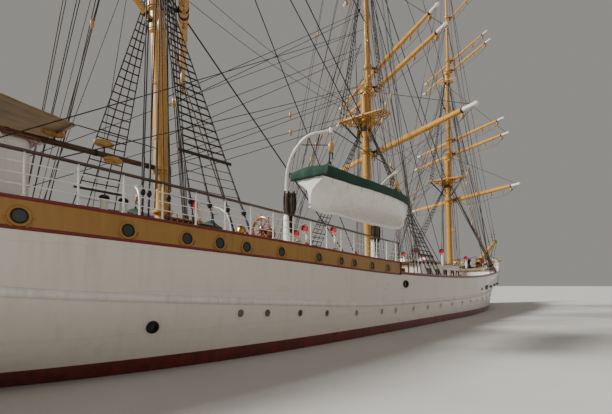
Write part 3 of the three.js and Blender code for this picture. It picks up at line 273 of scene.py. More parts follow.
class Build:
    """Gathers surfaces into one mesh. Points are in the frame that `at` sets, and the ship's at first."""

    def __init__(self):
        self.points, self.faces, self.slots, self.used, self.count = [], [], [], [], 0
        self.turn, self.move = np.eye(3), np.zeros(3)

    def at(self, place=(0, 0, 0), turn=None):
        """Sets the frame of what is added next: its origin, and its axes as columns."""
        self.turn = np.eye(3) if turn is None else np.asarray(turn, float)
        self.move = np.asarray(place, float)
        return self

    def on(self, mast, dx=0.0, z=0.0, brace=0.0):
        """Frame on a mast: forward, port and along it, turned aft to starboard by the brace angle."""
        c, s, a = math.cos(RAKE), math.sin(RAKE), math.radians(brace)
        return self.at(on_mast(mast, dx, 0, z), np.array([[c, 0, -s], [0, 1, 0], [s, 0, c]]) @ turned(a))

    def add(self, points, faces, material):
        """Takes points and faces, and turns and moves the points: p = R q + m."""
        points = np.asarray(points, float).reshape(-1, 3) @ self.turn.T + self.move
        if material not in self.used:
            self.used.append(material)
        self.points.append(points)
        self.faces += (np.asarray(faces) + self.count).tolist()
        self.slots += [self.used.index(material)] * len(faces)
        self.count += len(points)

    def grid(self, p, material, close=False):
        """Quads between neighbours in p[rows, columns], or in each of a batch of such grids."""
        p = np.asarray(p, float)
        p = p[None] if p.ndim == 3 else p
        index = np.arange(p[..., 0].size).reshape(p.shape[:3])
        right = np.roll(index, -1, 2) if close else index[:, :, 1:]
        left = index if close else index[:, :, :-1]
        quads = np.stack([left[:, :-1], right[:, :-1], right[:, 1:], left[:, 1:]], -1)
        self.add(p, quads.reshape(-1, 4), material)

    def face(self, ring, material):
        """One flat face inside a ring of points."""
        self.add(ring, [list(range(len(ring)))], material)

    def tubes(self, paths, radius, material, sides=6, caps=True):
        """Round bars: ring k = p(k) + r(k) (cos u e1 + sin u e2), with e1, e2 across the path."""
        p = np.asarray(paths, float)
        p = p[None] if p.ndim == 2 else p
        r = np.broadcast_to(np.asarray(radius, float), p.shape[:2])
        if caps:
            p = np.concatenate([p[:, :1], p, p[:, -1:]], 1)
            r = np.pad(r, ((0, 0), (1, 1)))
        t = np.gradient(p, axis=1) if p.shape[1] > 2 else np.repeat(p[:, 1:] - p[:, :1], 2, 1)
        if caps:
            t[:, 0], t[:, -1] = t[:, 1], t[:, -2]
        t = t / np.maximum(np.linalg.norm(t, axis=-1, keepdims=True), 1e-9)
        mean = np.abs(t).mean(1)
        up = np.where(mean[:, 2:] > .75, (1.0, 0, 0), (0, 0, 1.0))[:, None]
        e1 = np.cross(t, up)
        e1 /= np.maximum(np.linalg.norm(e1, axis=-1, keepdims=True), 1e-9)
        e2 = np.cross(t, e1)
        u = circle(1, sides)
        ring = u[:, 0, None] * e1[:, :, None] + u[:, 1, None] * e2[:, :, None]
        self.grid(p[:, :, None] + r[..., None, None] * ring, material, close=True)

    def bars(self, starts, ends, radius, material, sides=6, caps=True):
        """Straight round bars, one from each start to its end."""
        self.tubes(np.stack([starts, ends], 1), radius, material, sides, caps)

    def sweep(self, path, profile, material):
        """Profile (out, up) carried along a path: p(k) + out n(k) + up z, n level and across the path."""
        path, profile = np.asarray(path, float), np.asarray(profile, float)
        t = np.gradient(path, axis=0)
        n = xyz(-t[:, 1], t[:, 0], 0)
        n /= np.maximum(np.linalg.norm(n, axis=-1, keepdims=True), 1e-9)
        p = path[:, None] + profile[:, 0, None] * n[:, None] + profile[:, 1, None] * np.array([0, 0, 1])
        self.grid(p, material, close=True)
        self.face(p[0], material)
        self.face(p[-1], material)

    def tiers(self, outline, rows, material, centre=(0, 0), z=0.0):
        """Closed outline q at each height: (centre + k q, z + h) for each (k, h) of the rows."""
        self.grid([np.column_stack([outline * k + centre, np.full(len(outline), z + h)]) for k, h in rows],
                  material, close=True)

    def lathe(self, profile, material, place=(0, 0, 0), sides=16, axis="z"):
        """Turned form: (r cos u, r sin u, h) for each (r, h) of the profile, about z, x or y."""
        r, h = np.asarray(profile, float).T
        u = circle(1, sides)
        p = xyz(r[:, None] * u[:, 0], r[:, None] * u[:, 1], h[:, None])
        self.grid(p[..., {"z": [0, 1, 2], "x": [2, 0, 1], "y": [1, 2, 0]}[axis]] + place, material,
                  close=True)

    def boxes(self, centres, size, material):
        """Boxes round each centre: p = c + (+-1/2, +-1/2, +-1/2) size."""
        centres = np.atleast_2d(np.asarray(centres, float))
        size = np.broadcast_to(np.asarray(size, float), centres.shape)
        corner = np.array([(x, y, z) for x in (-1, 1) for y in (-1, 1) for z in (-1, 1)]) / 2
        faces = np.array([(0, 1, 3, 2), (4, 6, 7, 5), (0, 4, 5, 1), (2, 3, 7, 6), (0, 2, 6, 4),
                          (1, 5, 7, 3)])
        p = centres[:, None] + corner * size[:, None]
        quads = faces[None] + 8 * np.arange(len(centres))[:, None, None]
        self.add(p, quads.reshape(-1, 4), material)

    def mirror(self):
        """Adds the starboard twin of everything gathered so far."""
        points = np.concatenate(self.points) * (1, -1, 1)
        count = self.count
        self.faces += [[i + count for i in reversed(f)] for f in self.faces]
        self.slots += list(self.slots)
        self.points.append(points)
        self.count *= 2
        return self

    def finish(self, name, body="root", replaces=(), slot=None, bevel=0.0, angle=35.0, weld=True):
        """Makes the object at the model's scale, with merged doubles and normals outward, on its body."""
        mesh = bpy.data.meshes.new(name)
        mesh.from_pydata((np.concatenate(self.points) * SCALE).tolist(), [], self.faces)
        for material in self.used:
            mesh.materials.append(finish_of(material))
        mesh.polygons.foreach_set("material_index", self.slots)
        if weld:
            work = bmesh.new()
            work.from_mesh(mesh)
            bmesh.ops.remove_doubles(work, verts=work.verts, dist=WELD)
            bmesh.ops.recalc_face_normals(work, faces=work.faces)
            work.to_mesh(mesh)
            work.free()
        mesh.shade_smooth()
        mesh.set_sharp_from_angle(angle=math.radians(angle))
        obj = bpy.data.objects.new(name, mesh)
        bpy.context.collection.objects.link(obj)
        if bevel:
            edge = obj.modifiers.new("edges", "BEVEL")
            edge.width, edge.segments, edge.limit_method = bevel, 2, "ANGLE"
        if body:
            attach(obj, body)
        if replaces:
            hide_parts(*replaces)
        return obj


# Materials. Pattern sizes are for the model, in object metres.

def srgb(code):
    """Linear colour of an sRGB hex code."""
    c = [int(code[i:i + 2], 16) / 255 for i in (0, 2, 4)]
    return (*[v / 12.92 if v <= .04045 else ((v + .055) / 1.055) ** 2.4 for v in c], 1.0)


def tint(value):
    """Colour of a hex code or of one of the panel's colours by its name; a socket stays as it is."""
    if isinstance(value, str):
        return getattr(bpy.context.scene.ship_colours, value, None) or srgb(value)
    return value


def node(tree, kind, sockets=(), **properties):
    """Adds a node; a socket's value is a number, a colour or another node's output."""
    made = tree.nodes.new("ShaderNode" + kind)
    for key, value in properties.items():
        setattr(made, key, value)
    for key, value in dict(sockets).items():
        if isinstance(value, bpy.types.NodeSocket):
            tree.links.new(value, made.inputs[key])
        else:
            made.inputs[key].default_value = value
    return made


class Finish:
    """A material on the Principled shader, with its patterns laid over Object coordinates."""

    def __init__(self, name, rough, ior=1.5, coat=(0.0, .03), **more):
        self.made = bpy.data.materials.new(name)
        self.made.use_nodes = True
        self.tree = self.made.node_tree
        self.shader = self.tree.nodes["Principled BSDF"]
        for key, value in {"Roughness": rough, "IOR": ior, "Coat Weight": coat[0],
                           "Coat Roughness": coat[1], **more}.items():
            self.shader.inputs[key].default_value = value
        self.object = node(self.tree, "TexCoord").outputs["Object"]

    def node(self, kind, sockets=(), **properties):
        """Adds a node to this material."""
        return node(self.tree, kind, sockets, **properties)

    def stretched(self, x, y, z):
        """Object coordinates, scaled along each axis."""
        return self.node("Mapping", {"Vector": self.object, "Scale": (x, y, z)}).outputs[0]

    def noise(self, scale, detail=4.0, vector=None):
        """Cloudy pattern between 0 and 1."""
        return self.node("TexNoise", {"Vector": vector or self.object, "Scale": scale,
                                      "Detail": detail, "Roughness": .55}).outputs["Fac"]

    def waves(self, scale, distortion, direction="DIAGONAL", **more):
        """Straight bands, bent by the distortion."""
        return self.node("TexWave", {"Vector": self.object, "Scale": scale, "Distortion": distortion,
                                     **more}, bands_direction=direction).outputs["Fac"]

    def bricks(self, wide, tall, gap, smooth, **more):
        """Rows of long plates, planks or cloths with narrow seams."""
        return self.node("TexBrick", {"Vector": self.object, "Scale": 1.0, "Mortar Size": gap,
                                      "Mortar Smooth": smooth, "Brick Width": wide, "Row Height": tall,
                                      **more}).outputs

    def ramp(self, value, low, high, to=(0.0, 1.0)):
        """Straight ramp of a value from low to high, onto another range."""
        return self.node("MapRange", {"Value": value, "From Min": low, "From Max": high,
                                      "To Min": to[0], "To Max": to[1]}).outputs[0]

    def mix(self, share, a, b):
        """Mixes two colours."""
        return self.node("Mix", {0: share, 6: tint(a), 7: tint(b)}, data_type="RGBA").outputs[2]

    def times(self, a, b):
        """Product of two values."""
        return self.sums("MULTIPLY", a, b)

    def sums(self, operation, a, b):
        """Sum, product, difference or comparison of two values."""
        return self.node("Math", {0: a, 1: b}, operation=operation).outputs[0]

    def wear(self, value, rough):
        """Roughness between two values."""
        self.tree.links.new(self.ramp(value, .3, .7, rough), self.shader.inputs["Roughness"])

    def done(self, colour, height=None, depth=.002):
        """Joins the colour, and the bump where there is one, to the shader."""
        self.tree.links.new(colour, self.shader.inputs["Base Color"])
        if height is not None:
            bump = self.node("Bump", {"Height": height, "Distance": depth, "Strength": .6})
            self.tree.links.new(bump.outputs[0], self.shader.inputs["Normal"])
        return self.made


def enamel(name, light, dark, rough=.3, coat=.3):
    """Brushed gloss enamel: large uneven tone, thin run-off streaks, a faint orange-peel gloss."""
    f = Finish(name, rough, coat=(coat, .15))
    broad = f.noise(1.7, 5)
    streak = f.noise(1.0, 3, f.stretched(14, 14, 1.2))
    f.wear(broad, (rough - .06, rough + .14))
    tone = f.times(f.ramp(broad, .35, .75), f.ramp(streak, .4, .75))
    return f.done(f.mix(tone, light, dark), f.noise(60, 2), .0006)


def hull_enamel(name):
    """White side, its off-white darkened and warmed as painted shade: plate strakes that catch the light,
    grey run-off under the ports, dark red boot-top.
    """
    f = Finish(name, .32, coat=(.25, .18))
    apart = f.node("SeparateXYZ", {0: f.object}).outputs
    flat = f.node("CombineXYZ", {0: apart[0], 1: apart[2], 2: 0.0}).outputs[0]
    plates = f.bricks(2.4, .52, .006, .6, Vector=flat)["Fac"]
    waves = f.noise(1.1, 2, f.stretched(1, 1, 2.2))
    streak = f.noise(1.0, 4, f.stretched(9, 9, .7))
    grime = f.times(f.ramp(streak, .45, .85, (0, .55)), f.ramp(waves, .3, .7))
    # The side colour is an off-white darkened and warmed as painted shade of the side; the grey streaks
    # mixed over it are run-off dirt.
    side = f.mix(grime, "side", "C6BBA9")
    side = f.mix(f.times(f.ramp(f.noise(2.2, 6), .6, .85), .25), side, "D2C3AB")
    line = f.sums("LESS_THAN", apart[2], .2)
    foot = f.mix(f.ramp(streak, .3, .7), "7E2A20", "55201A")
    f.wear(waves, (.26, .42))
    height = f.sums("ADD", f.times(plates, -.35),
                    f.times(waves, .9))
    return f.done(f.mix(line, side, foot), height, .012)


def wood(name, light, dark, rough, coat, way=(2.0, 16.0, 16.0)):
    """Varnished or oiled wood: long darker growth lines, fine pores, and a gloss that dulls in patches."""
    f = Finish(name, rough, coat=(coat, .12))
    stretch = f.stretched(*way)
    lines = f.waves(1.2, 7.0, **{"Vector": stretch, "Detail": 4.0, "Detail Scale": 1.4})
    pores = f.noise(18, 6, stretch)
    patch = f.noise(2.5, 3)
    f.wear(patch, (rough - .05, rough + .18))
    tone = f.mix(f.ramp(lines, .2, .9), light, dark)
    tone = f.mix(f.times(f.ramp(pores, .45, .7), .4), tone, dark)
    return f.done(tone, pores, .0008)


def deck_teak(name):
    """Scrubbed planking: planks 60 mm wide in the model, black caulked seams, each plank its own tone."""
    f = Finish(name, .62)
    planks = f.bricks(2.6, .065, .0032, .1, Color1=srgb("B59B76"), Color2=srgb("8F7657"),
                      Mortar=srgb("17130F"))
    grain = f.noise(6, 6, f.stretched(2, 30, 30))
    worn = f.noise(1.3, 4)
    tone = f.mix(f.times(f.ramp(grain, .4, .75), .45), planks["Color"], "6E5A40")
    tone = f.mix(f.times(f.ramp(worn, .5, .75), .35), tone, "C7B594")
    height = f.sums("SUBTRACT", f.times(grain, .3), planks["Fac"])
    return f.done(tone, height, .0025)


def rope(name, light, dark, rough=.75):
    """Laid rope or served wire: a fine slanting twist, dusty where it stands out."""
    f = Finish(name, rough)
    twist = f.waves(55.0, 1.5)
    dust = f.noise(9, 4)
    tone = f.mix(f.ramp(dust, .35, .7), light, dark)
    return f.done(f.mix(f.times(twist, .35), tone, dark), twist, .0015)


def metal(name, light, dark, rough, metallic=1.0):
    """Metal: cast or worn grain, smears that change the gloss, darker where it tarnishes."""
    f = Finish(name, rough, Metallic=metallic)
    grain, smear = f.noise(24, 5), f.noise(3.1, 4)
    f.wear(smear, (max(rough - .12, .05), rough + .18))
    return f.done(f.mix(f.ramp(smear, .35, .75), light, dark), grain, .0008)


def canvas(name, light, dark, seam, sheen=.25):
    """Canvas: plain weave, cloths joined by seams, sun-faded patches and soft creases."""
    f = Finish(name, .86, **{"Sheen Weight": sheen, "Sheen Roughness": .5})
    warp, weft = f.waves(WEAVE, .6, "X"), f.waves(WEAVE, .6, "Y")
    cloths = f.bricks(seam, 40.0, .004, .5)["Fac"]
    crease = f.noise(3.4, 5, f.stretched(1, 2.2, 2.2))
    weave = f.times(warp, weft)
    tone = f.mix(f.ramp(crease, .35, .7), light, dark)
    tone = f.mix(f.times(cloths, .5), tone, dark)
    height = f.sums("ADD", f.times(weave, .04),
                    f.sums("ADD", crease, f.times(cloths, .12)))
    return f.done(tone, height, .012)


def glass(name):
    """Port glass: near black from outside, with a clean sharp reflection and faint salt."""
    f = Finish(name, .05, 1.52, coat=(1.0, .02))
    salt = f.noise(40, 4)
    return f.done(f.mix(f.ramp(salt, .5, .9), "10161A", "2B3336"), f.noise(4, 2), .0004)


def floor_paint():
    """Pale matt floor with the faintest unevenness."""
    f = Finish("pale_floor", .8)
    return f.done(f.mix(f.ramp(f.noise(.5, 3), .3, .7), "CFCCC6", "C6C3BD"))


# Finishes: how each is made, its name, its colours and its gloss.
FINISHES = {
    "hull": (hull_enamel, "white_hull_enamel_shade_darkened"),
    "white": (enamel, "white_enamel", "F0EDE5", "CFC7B8"),
    "ochre": (enamel, "ochre_spar_enamel", "spar", "A87830", .36, .2),
    # The band is ochre enamel like the spars; its colours are darkened below theirs as painted shade of the
    # band on the side.
    "band": (enamel, "ochre_band_enamel_shade_darkened", "A67934", "8A6129", .34, .25),
    "maroon": (enamel, "dark_red_enamel", "7A211C", "571713", .35, .2),
    "red": (enamel, "signal_red_enamel", "B4141F", "8C0F18", .3, .4),
    "gelcoat": (enamel, "white_gelcoat", "F3F1EA", "DAD4C6", .25, .5),
    "antifoul": (enamel, "red_antifouling", "7B2B22", "5B1F1A", .7, 0.0),
    "dark_teak": (wood, "dark_varnished_teak", "4A2E22", "2A1811", .32, .5),
    "boom_wood": (wood, "dark_oiled_spar", "5E3B22", "35210F", .42, .3),
    "teak": (wood, "varnished_teak", "8A4E27", "4E2812", .3, .6),
    "mahogany": (wood, "varnished_mahogany", "A8582A", "6B3014", .25, .8, (16.0, 3.0, 3.0)),
    "oak": (wood, "golden_oak_blocks", "C9A05A", "A87C40", .38, .4, (3.0, 14.0, 14.0)),
    "dark_wood": (wood, "tarred_wood", "3A2A20", "1C1410", .55, .1),
    "deck": (deck_teak, "teak_deck_planking"),
    "wire": (rope, "tarred_wire", "2B2622", "100E0D", .6),
    "hemp": (rope, "brown_running_rope", "6A4F36", "3C2C1E"),
    "old_rope": (rope, "dark_hank_rope", "3A2A1E", "1E1510"),
    "pale_rope": (rope, "new_manila_rope", "C7AE7E", "8E7750"),
    "iron": (metal, "black_iron_paint", "26262A", "121214", .45, .4),
    "zinc": (metal, "galvanised_steel", "A9AAA6", "75777A", .42),
    "brass": (metal, "brass", "D9A94E", "8E6423", .25),
    "bronze": (metal, "propeller_bronze", "B08A4A", "6E5126", .35),
    "cover": (canvas, "green_boat_canvas", "cover", "0B2A20", 1.1, .08),
    "awning": (canvas, "beige_awning_canvas", "C9B48E", "A08A64", .75),
    "glass": (glass, "port_glass"),
}
MADE = {}


def finish_of(name):
    """The material of a finish, made when it is first asked for."""
    if name not in MADE:
        make, *values = FINISHES[name]
        MADE[name] = make(*values)
    return MADE[name]


# Pieces.

def half_round(radius, steps=6):
    """Profile of a moulding: (r cos u, r sin u) for u from -90 to 90 degrees."""
    u = np.linspace(-np.pi / 2, np.pi / 2, steps)
    return np.stack([radius * np.cos(u), radius * np.sin(u)], -1)


def on_side(x, z, proud=0.0):
    """Frame on the port side of the hull at a place and height: its third axis points outward."""
    e = .15
    y = hull_out(x, z)
    along_hull = np.array([2 * e, hull_out(x + e, z) - hull_out(x - e, z), 0])
    rise = np.array([0, hull_out(x, z + e) - hull_out(x, z - e), 2 * e])
    a = along_hull / np.linalg.norm(along_hull)
    out = np.cross(rise, a)
    out /= np.linalg.norm(out)
    return np.array([x, y, z]) + out * proud, np.stack([a, np.cross(out, a), out], -1)


def hull_surface():
    """Shell: sections y = half (1 - (1 - s)^f)^(1/f) on a grid of places, then the topsides, band,
    deck margins, bulwark linings and bulkheads."""
    b = Build()
    share = np.sin(np.linspace(0, np.pi / 2, 18)) ** 1.6
    for start, end, count, band in ((STERN, BREAK_AFT, 70, True), (BREAK_AFT, STEM, 90, False)):
        t = np.linspace(0, 1, count)
        x = start + (end - start) * (t ** 1.5 if band else 1 - (1 - t) ** 1.3)
        bottom, half, full, deck = along(STATIONS, x).T[:, :, None]
        strake, top = strake_z(x)[:, None], sheer(x)[:, None]
        y = half * (1 - (1 - share) ** full) ** (1 / full)
        low = xyz(x[:, None], y, bottom + share * (strake - bottom))
        up = np.linspace(0, 1, 7)
        high = xyz(x[:, None], half + (deck - half) * up, strake + (top - strake) * up)
        rim = xyz(x, deck[:, 0], top[:, 0] + (BAND if band else EDGE))[:, None]
        b.grid(low, "hull")
        b.grid(high, "hull")
        b.grid(np.concatenate([high[:, -1:], rim], 1), "band" if band else "hull")
        if band:
            for edge, paint in ((np.concatenate([low[0], high[0]]), "hull"),
                                (np.stack([high[0, -1], rim[0, 0]]), "band")):
                b.grid(np.stack([edge, edge * (1, 0, 1)]), paint)
    # Bare margins of the raised decks, then the lining of the bulwark
    for start, end in ((STERN, BREAK_AFT), (BREAK_FORE, STEM)):
        path = edge_path(start, end, step=.2)
        inner = path.copy()
        inner[:, 1] = np.maximum(path[:, 1] - MARGIN - .12, 0)
        b.grid(np.stack([path, inner], 1), "white")
    x = np.linspace(BREAK_AFT + .001, BREAK_FORE, 60)
    wall = deck_half(x) - BULWARK
    b.grid(np.stack([xyz(x, wall, sheer(x) + EDGE),
                     xyz(x, wall, sheer(x) - WELL)], 1), "white")
    for at in (BREAK_AFT, BREAK_FORE):
        out, low, high = deck_half(at), sheer(at) - WELL - .05, hull_top(at)
        b.grid([[(at, out, low), (at, out, high)], [(at, 0, low), (at, 0, high)]], "white")
    b.mirror()
    backbone(b)
    b.finish("hull_shell", replaces=["hull"], slot="white_paint", bevel=.006)


def backbone(b):
    """Keel, stem and the frame round the propeller: a flat outline through two curves of second degree,
    (1 - t)^2 a + 2 t (1 - t) b + t^2 c, given its thickness."""
    t = np.linspace(0, 1, 9)[:, None]
    fore = (1 - t) ** 2 * (22, -4.8) + 2 * t * (1 - t) * (26.2, -4.6) + t * t * (27.5, 0)
    clip = (1 - t) ** 2 * (27.5, 0) + 2 * t * (1 - t) * (28.4, 3.1) + t * t * (31.1, 5.2)
    outline = np.concatenate([[(-25.05, -4.8)], fore, clip[1:], [(31, 5.55), (29.4, 4.7), (26.6, -.9),
        (23, -3), (-6, -3.8), (-16, -2.5), (-22.9, -.6), (-22.9, -4.55), (-25.05, -4.55)]])
    faces = [np.insert(outline, 1, y, axis=1) for y in (-.15, .15)]
    for each in faces:
        b.face(each, "hull")
    b.grid(np.stack(faces), "hull", close=True)
    b.tubes([(-20.5, 0, -3.1), (-22.95, 0, -3.1)], [.45, .28], "hull", 24)
    b.boxes((29.65, 0, 5.3), (.7, .4, 1.4), "white")


def hull_trim():
    """Mouldings, rails on the bulwark, ports, hawse holes: profiles swept along the hull's own lines."""
    b = Build()
    x = np.concatenate([np.linspace(STERN, -27, 22), np.linspace(-26.7, 30, 130)])
    b.sweep(xyz(x, hull_out(x, strake_z(x)) - .02, strake_z(x)), half_round(.115, 7), "white")
    low = edge_path(STERN, BREAK_AFT, .01, -BAND + .02, .3)
    b.sweep(low, half_round(.042), "maroon")
    b.sweep(edge_path(STERN, BREAK_AFT, .02, -.02, .3), half_round(.045), "maroon")
    out, top = deck_half(STERN), hull_top(STERN)
    for z in (top - BAND + .02, top - .02):
        b.boxes((STERN, out / 2, z), (.08, out + .02, .08), "maroon")
    b.sweep(edge_path(BREAK_AFT + .01, STEM, .02, -.03, .3), half_round(.05), "maroon")
    b.sweep(edge_path(BREAK_AFT + .02, BREAK_FORE, BULWARK / 2, .03, .4), rounded(.24, .07), "teak")
    b.boxes((BREAK_AFT - .005, deck_half(BREAK_AFT) + .01, sheer(BREAK_AFT) + BAND / 2),
            (.09, .09, BAND), "maroon")
    # Inner waterway bar of the raised decks
    for start, end in ((-29.4, BREAK_AFT - .05), (BREAK_FORE + .05, 28.8)):
        b.sweep(edge_path(start, end, MARGIN - .03, .04, .4), rounded(.06, .1), "maroon")
    # Stanchions that brace the bulwark inside, and freeing ports
    for at in np.arange(-5.6, 17, 1.9):
        y, z = deck_half(at) - BULWARK, deck_z("main", at)
        b.tubes([(at, y - .01, z + 1.1), (at, y - .5, z)], .025, "white", 6)
        b.boxes((at + .95, y - .01, z + .16), (.7, .02, .2), "iron")
    for at in BAND_PORTS:
        b.at(*on_side(at, sheer(at) + BAND * .4))
        b.lathe([(.15, -.02), (.15, .012), (.175, .03), (.2, .028), (.215, .01), (.215, -.01)], "band",
                sides=28)
        b.lathe([(.118, -.01), (.122, .022), (.136, .03), (.152, .02), (.152, 0)], "iron", sides=28)
        b.lathe([(0, .008), (.12, .008)], "glass", sides=24)
        # Eyebrow that throws the water clear
        u = np.linspace(.1, np.pi - .1, 15)
        b.tubes(xyz(.25 * np.cos(u), .25 * np.sin(u), .012), .016, "band", 6)
    for at in HULL_PORTS:
        b.at(*on_side(at, strake_z(at) - .36))
        b.lathe([(.115, -.01), (.12, .02), (.14, .03), (.165, .018), (.17, -.01)], "hull", sides=22)
        b.lathe([(0, .004), (.118, .004)], "glass", sides=22)
    for at, z, wide, tall in ((10.8, 2.05, .3, .2), (27.0, 3.6, .3, .24), (-28.6, 2.9, .22, .16),
                              (-6.2, 2.3, .26, .18), (-20, 1.2, .15, .15)):
        b.at(*on_side(at, z))
        oval = circle(1, 24) * (wide, tall)
        b.tiers(oval, [(.62, -.02), (.7, .06), (.9, .08), (1.05, .05), (1.1, 0)], "iron")
        # The near-black glass disc inside each oval rim is painted shade standing in for the dark opening
        # behind it.
        b.tiers(oval, [(0, .004), (.7, .004)], "glass")
    b.at()
    b.mirror()
    b.finish("hull_trim", slot="white_paint")


def planks():
    """Decks: the plan of each follows the deck edge, (x, s (half(x) - inset), height(x)) for s from -1
    to 1, with a thin skirt round it."""
    for name, start, end, inset in (("quarter", -30.24, -6.85, MARGIN - .03),
                                    ("main", -6.72, 17.48, BULWARK + .02),
                                    ("forecastle", 17.6, 28.9, MARGIN)):
        b = Build()
        x = start + (end - start) * np.linspace(0, 1, 70) ** 1.5
        y = np.maximum(deck_half(x) - inset, .02)
        s = np.linspace(-1, 1, 13)
        z = deck_z(name, x)
        top = xyz(x[:, None], y[:, None] * s, z[:, None])
        skirt = top[:, [0, -1]] - (0, 0, PLANK - .005)
        b.grid(top, "deck")
        b.grid(np.stack([top[:, 0], skirt[:, 0]], 1), "deck")
        b.grid(np.stack([top[:, -1], skirt[:, 1]], 1), "deck")
        for end in (top[0], top[-1]):
            b.grid(np.stack([end, end - (0, 0, PLANK - .005)], 1), "deck")
        fittings(b, name)
        b.finish(f"deck_{name}_planking", replaces=[f"deck_{name}"], slot="decking", bevel=.004)


def cowl(b, x, y, top, foot):
    """Cowl: a pipe that bends aft along a quarter circle and opens into a bell, red inside."""
    size = .66
    u = np.linspace(0, 1, 12)
    turn = np.pi / 2 * np.clip((u - .35) / .65, 0, 1) * 1.12
    rise = (top - .62 * size - foot) * np.clip(u / .35, 0, 1) + .34 * size * np.sin(turn)
    spine = xyz(x + .1 - .3 * size * (1 - np.cos(turn)), y, foot + rise)
    bell = size * (.15 + .15 * np.clip((u - .3) / .7, 0, 1) ** 1.5)
    rim = bell[-1]
    b.tubes(spine, bell, "white", 18, caps=False)
    b.tubes(spine[5:], bell[5:] - .02, "red", 18, caps=False)
    b.tubes([spine[-1] + (.012, 0, 0), spine[-1] - (.012, 0, .003)], rim + .012, "red", 18, caps=False)
    b.tubes([spine[-1] + (.05, 0, 0), spine[-1] + (.056, 0, 0)], rim - .03, "red", 18)
    b.lathe([(.2, 0), (.2, .03), (.14, .06), (.13, .1)], "white", (x + .1, y, foot), 18)
    b.lathe([(.12, 0), (.12, .05), (.1, .05)], "brass", (x + .1, y, foot + .55), 18)


def coil(b, place, radius, turns, material):
    """Coil of line on a pin: turns beside each other, p = r (cos u, sin u) stacked by the rope's size."""
    rope = .022
    u = np.linspace(0, 2 * np.pi * turns, 14 * turns)
    wobble = 1 + .06 * np.sin(u * 1.7)
    x, y, z = place
    side = rope * 1.6 * (u / (2 * np.pi) - turns / 2)
    b.tubes(xyz(x + radius * .55 * np.sin(u) * wobble, y + side,
                z - radius + radius * np.cos(u) * wobble), rope, material, 5)


def pin_rail(b, start, end, count, lines="hemp"):
    """Teak rail with brass belaying pins and a coil on each."""
    start, end = np.asarray(start, float), np.asarray(end, float)
    b.sweep(np.stack([start, (start + end) / 2, end]), rounded(.18, .07), "teak")
    for t in (np.arange(count) + .5) / count:
        p = start + (end - start) * t
        b.lathe([(0, .24), (.022, .22), (.028, .12), (.018, .05), (.03, .04), (.016, -.2), (0, -.22)],
                "brass", p, 8)
        coil(b, p + (0, 0, .02), .2 + .03 * math.sin(9 * t), 4, lines)


def fittings(b, deck):
    """Ventilators and bitts of a deck, then what stands on that deck alone."""
    for name, x, y, top in VENTS:
        if name == deck:
            for side in (-1, 1):
                cowl(b, x, side * y, top, deck_z(deck, x))
    for name, x, y in BITTS:
        if name == deck:
            z = deck_z(deck, x)
            for side in (-1, 1):
                b.boxes((x, side * y, z + .05), (.9, .3, .1), "white")
                for d in (-.25, .25):
                    post = (x + d, side * y, z)
                    b.lathe([(.11, .08), (.095, .12), (.095, .42)], "white", post, 18)
                    b.lathe([(.095, .42), (.125, .45), (.125, .5), (.08, .54), (0, .55)], "iron", post, 18)
    {"quarter": quarterdeck_gear, "main": main_deck_gear, "forecastle": forecastle_bell}[deck](b)


def quarterdeck_gear(b):
    """Skylight with a ridge and barred panes, companion hatch, pin rails by the mizzen mast, lockers."""
    z = deck_z("quarter", -14.4)
    b.boxes((-14.4, 0, z + .2), (1.9, 1.6, .46), "teak")
    b.grid([[[(x, 0, z + .86), (x, side * .82, z + .44)] for x in (-15.35, -13.45)] for side in (-1, 1)],
           "teak")
    for x in (-15.3, -13.5):
        b.face([(x, -.78, z + .42), (x, .78, z + .42), (x, 0, z + .84)], "teak")
    b.tubes([(-15.38, 0, z + .87), (-13.42, 0, z + .87)], .04, "teak", 8)
    pane = np.array([(-.22, -.3), (.22, -.3), (.22, .3), (-.22, .3)])
    for side in (-1, 1):
        slope = np.array([0, side * .82, -.42]) / .921
        for x in (-15.0, -14.4, -13.8):
            middle = np.array([x, 0, z + .885]) + slope * .46
            b.face(middle + pane[:, :1] * (1, 0, 0) + pane[:, 1:] * slope, "glass")
            for k in np.linspace(-.2, .2, 5):
                a = middle + (k, 0, .03)
                b.tubes([a - slope * .32, a + slope * .32], .009, "brass", 6)
    z = deck_z("quarter", -9.55)
    b.boxes((-9.55, 0, z + .35), (1.3, 1.2, .8), "teak")
    b.boxes((-9.55, 0, z + .77), (1.42, 1.32, .05), "teak")
    b.boxes((-9.4, 0, z + .81), (.9, 1.0, .05), "teak")
    b.tubes([(-9.9, -.5, z + .86), (-9.9, .5, z + .86)], .015, "brass", 6)
    b.boxes((-10.22, 0, z + .36), (.04, .8, .62), "mahogany")
    z = deck_z("quarter", -20)
    for side in (-1, 1):
        for x in (-17.2, -16):
            b.lathe([(.07, 0), (.05, .1), (.06, .5), (.045, .9), (.07, .98)], "teak",
                    (x, side * .85, deck_z("quarter", x)), 12)
        pin_rail(b, (-17.35, side * .85, 4.75), (-15.85, side * .85, 4.72), 6)
        b.boxes((-20, side * 1.6, z + .25), (1.8, .6, .5), "teak")
        b.boxes((-20, side * 1.6, z + .53), (1.9, .68, .05), "mahogany")


def main_deck_gear(b):
    """Hatch with its battens, and the pin rails round the main and fore masts."""
    z = deck_z("main", -4.2)
    b.boxes((-4.15, 0, z + .3), (2.5, 2.8, .62), "white")
    b.boxes((-4.15, 0, z + .63), (2.6, 2.9, .06), "teak")
    for y in np.arange(-1.2, 1.3, .4):
        b.boxes((-4.15, y, z + .68), (2.4, .34, .06), "teak")
    for y in (-1, 1):
        b.boxes((-4.15, y, z + .72), (2.6, .05, .02), "iron")
    for x in (-.6, 16.2):
        z = deck_z("main", x)
        rail_z = z + .93
        for side in (-1, 1):
            for d in (-.75, .75):
                b.lathe([(.1, 0), (.07, .08), (.08, .4), (.06, .8), (.09, .95)], "teak",
                        (x + d, side * .85, z), 12)
            pin_rail(b, (x - .9, side * .85, rail_z), (x + .9, side * .85, rail_z), 7)
        pin_rail(b, (x - .75, -.85, rail_z), (x - .75, .85, rail_z), 6, "pale_rope")


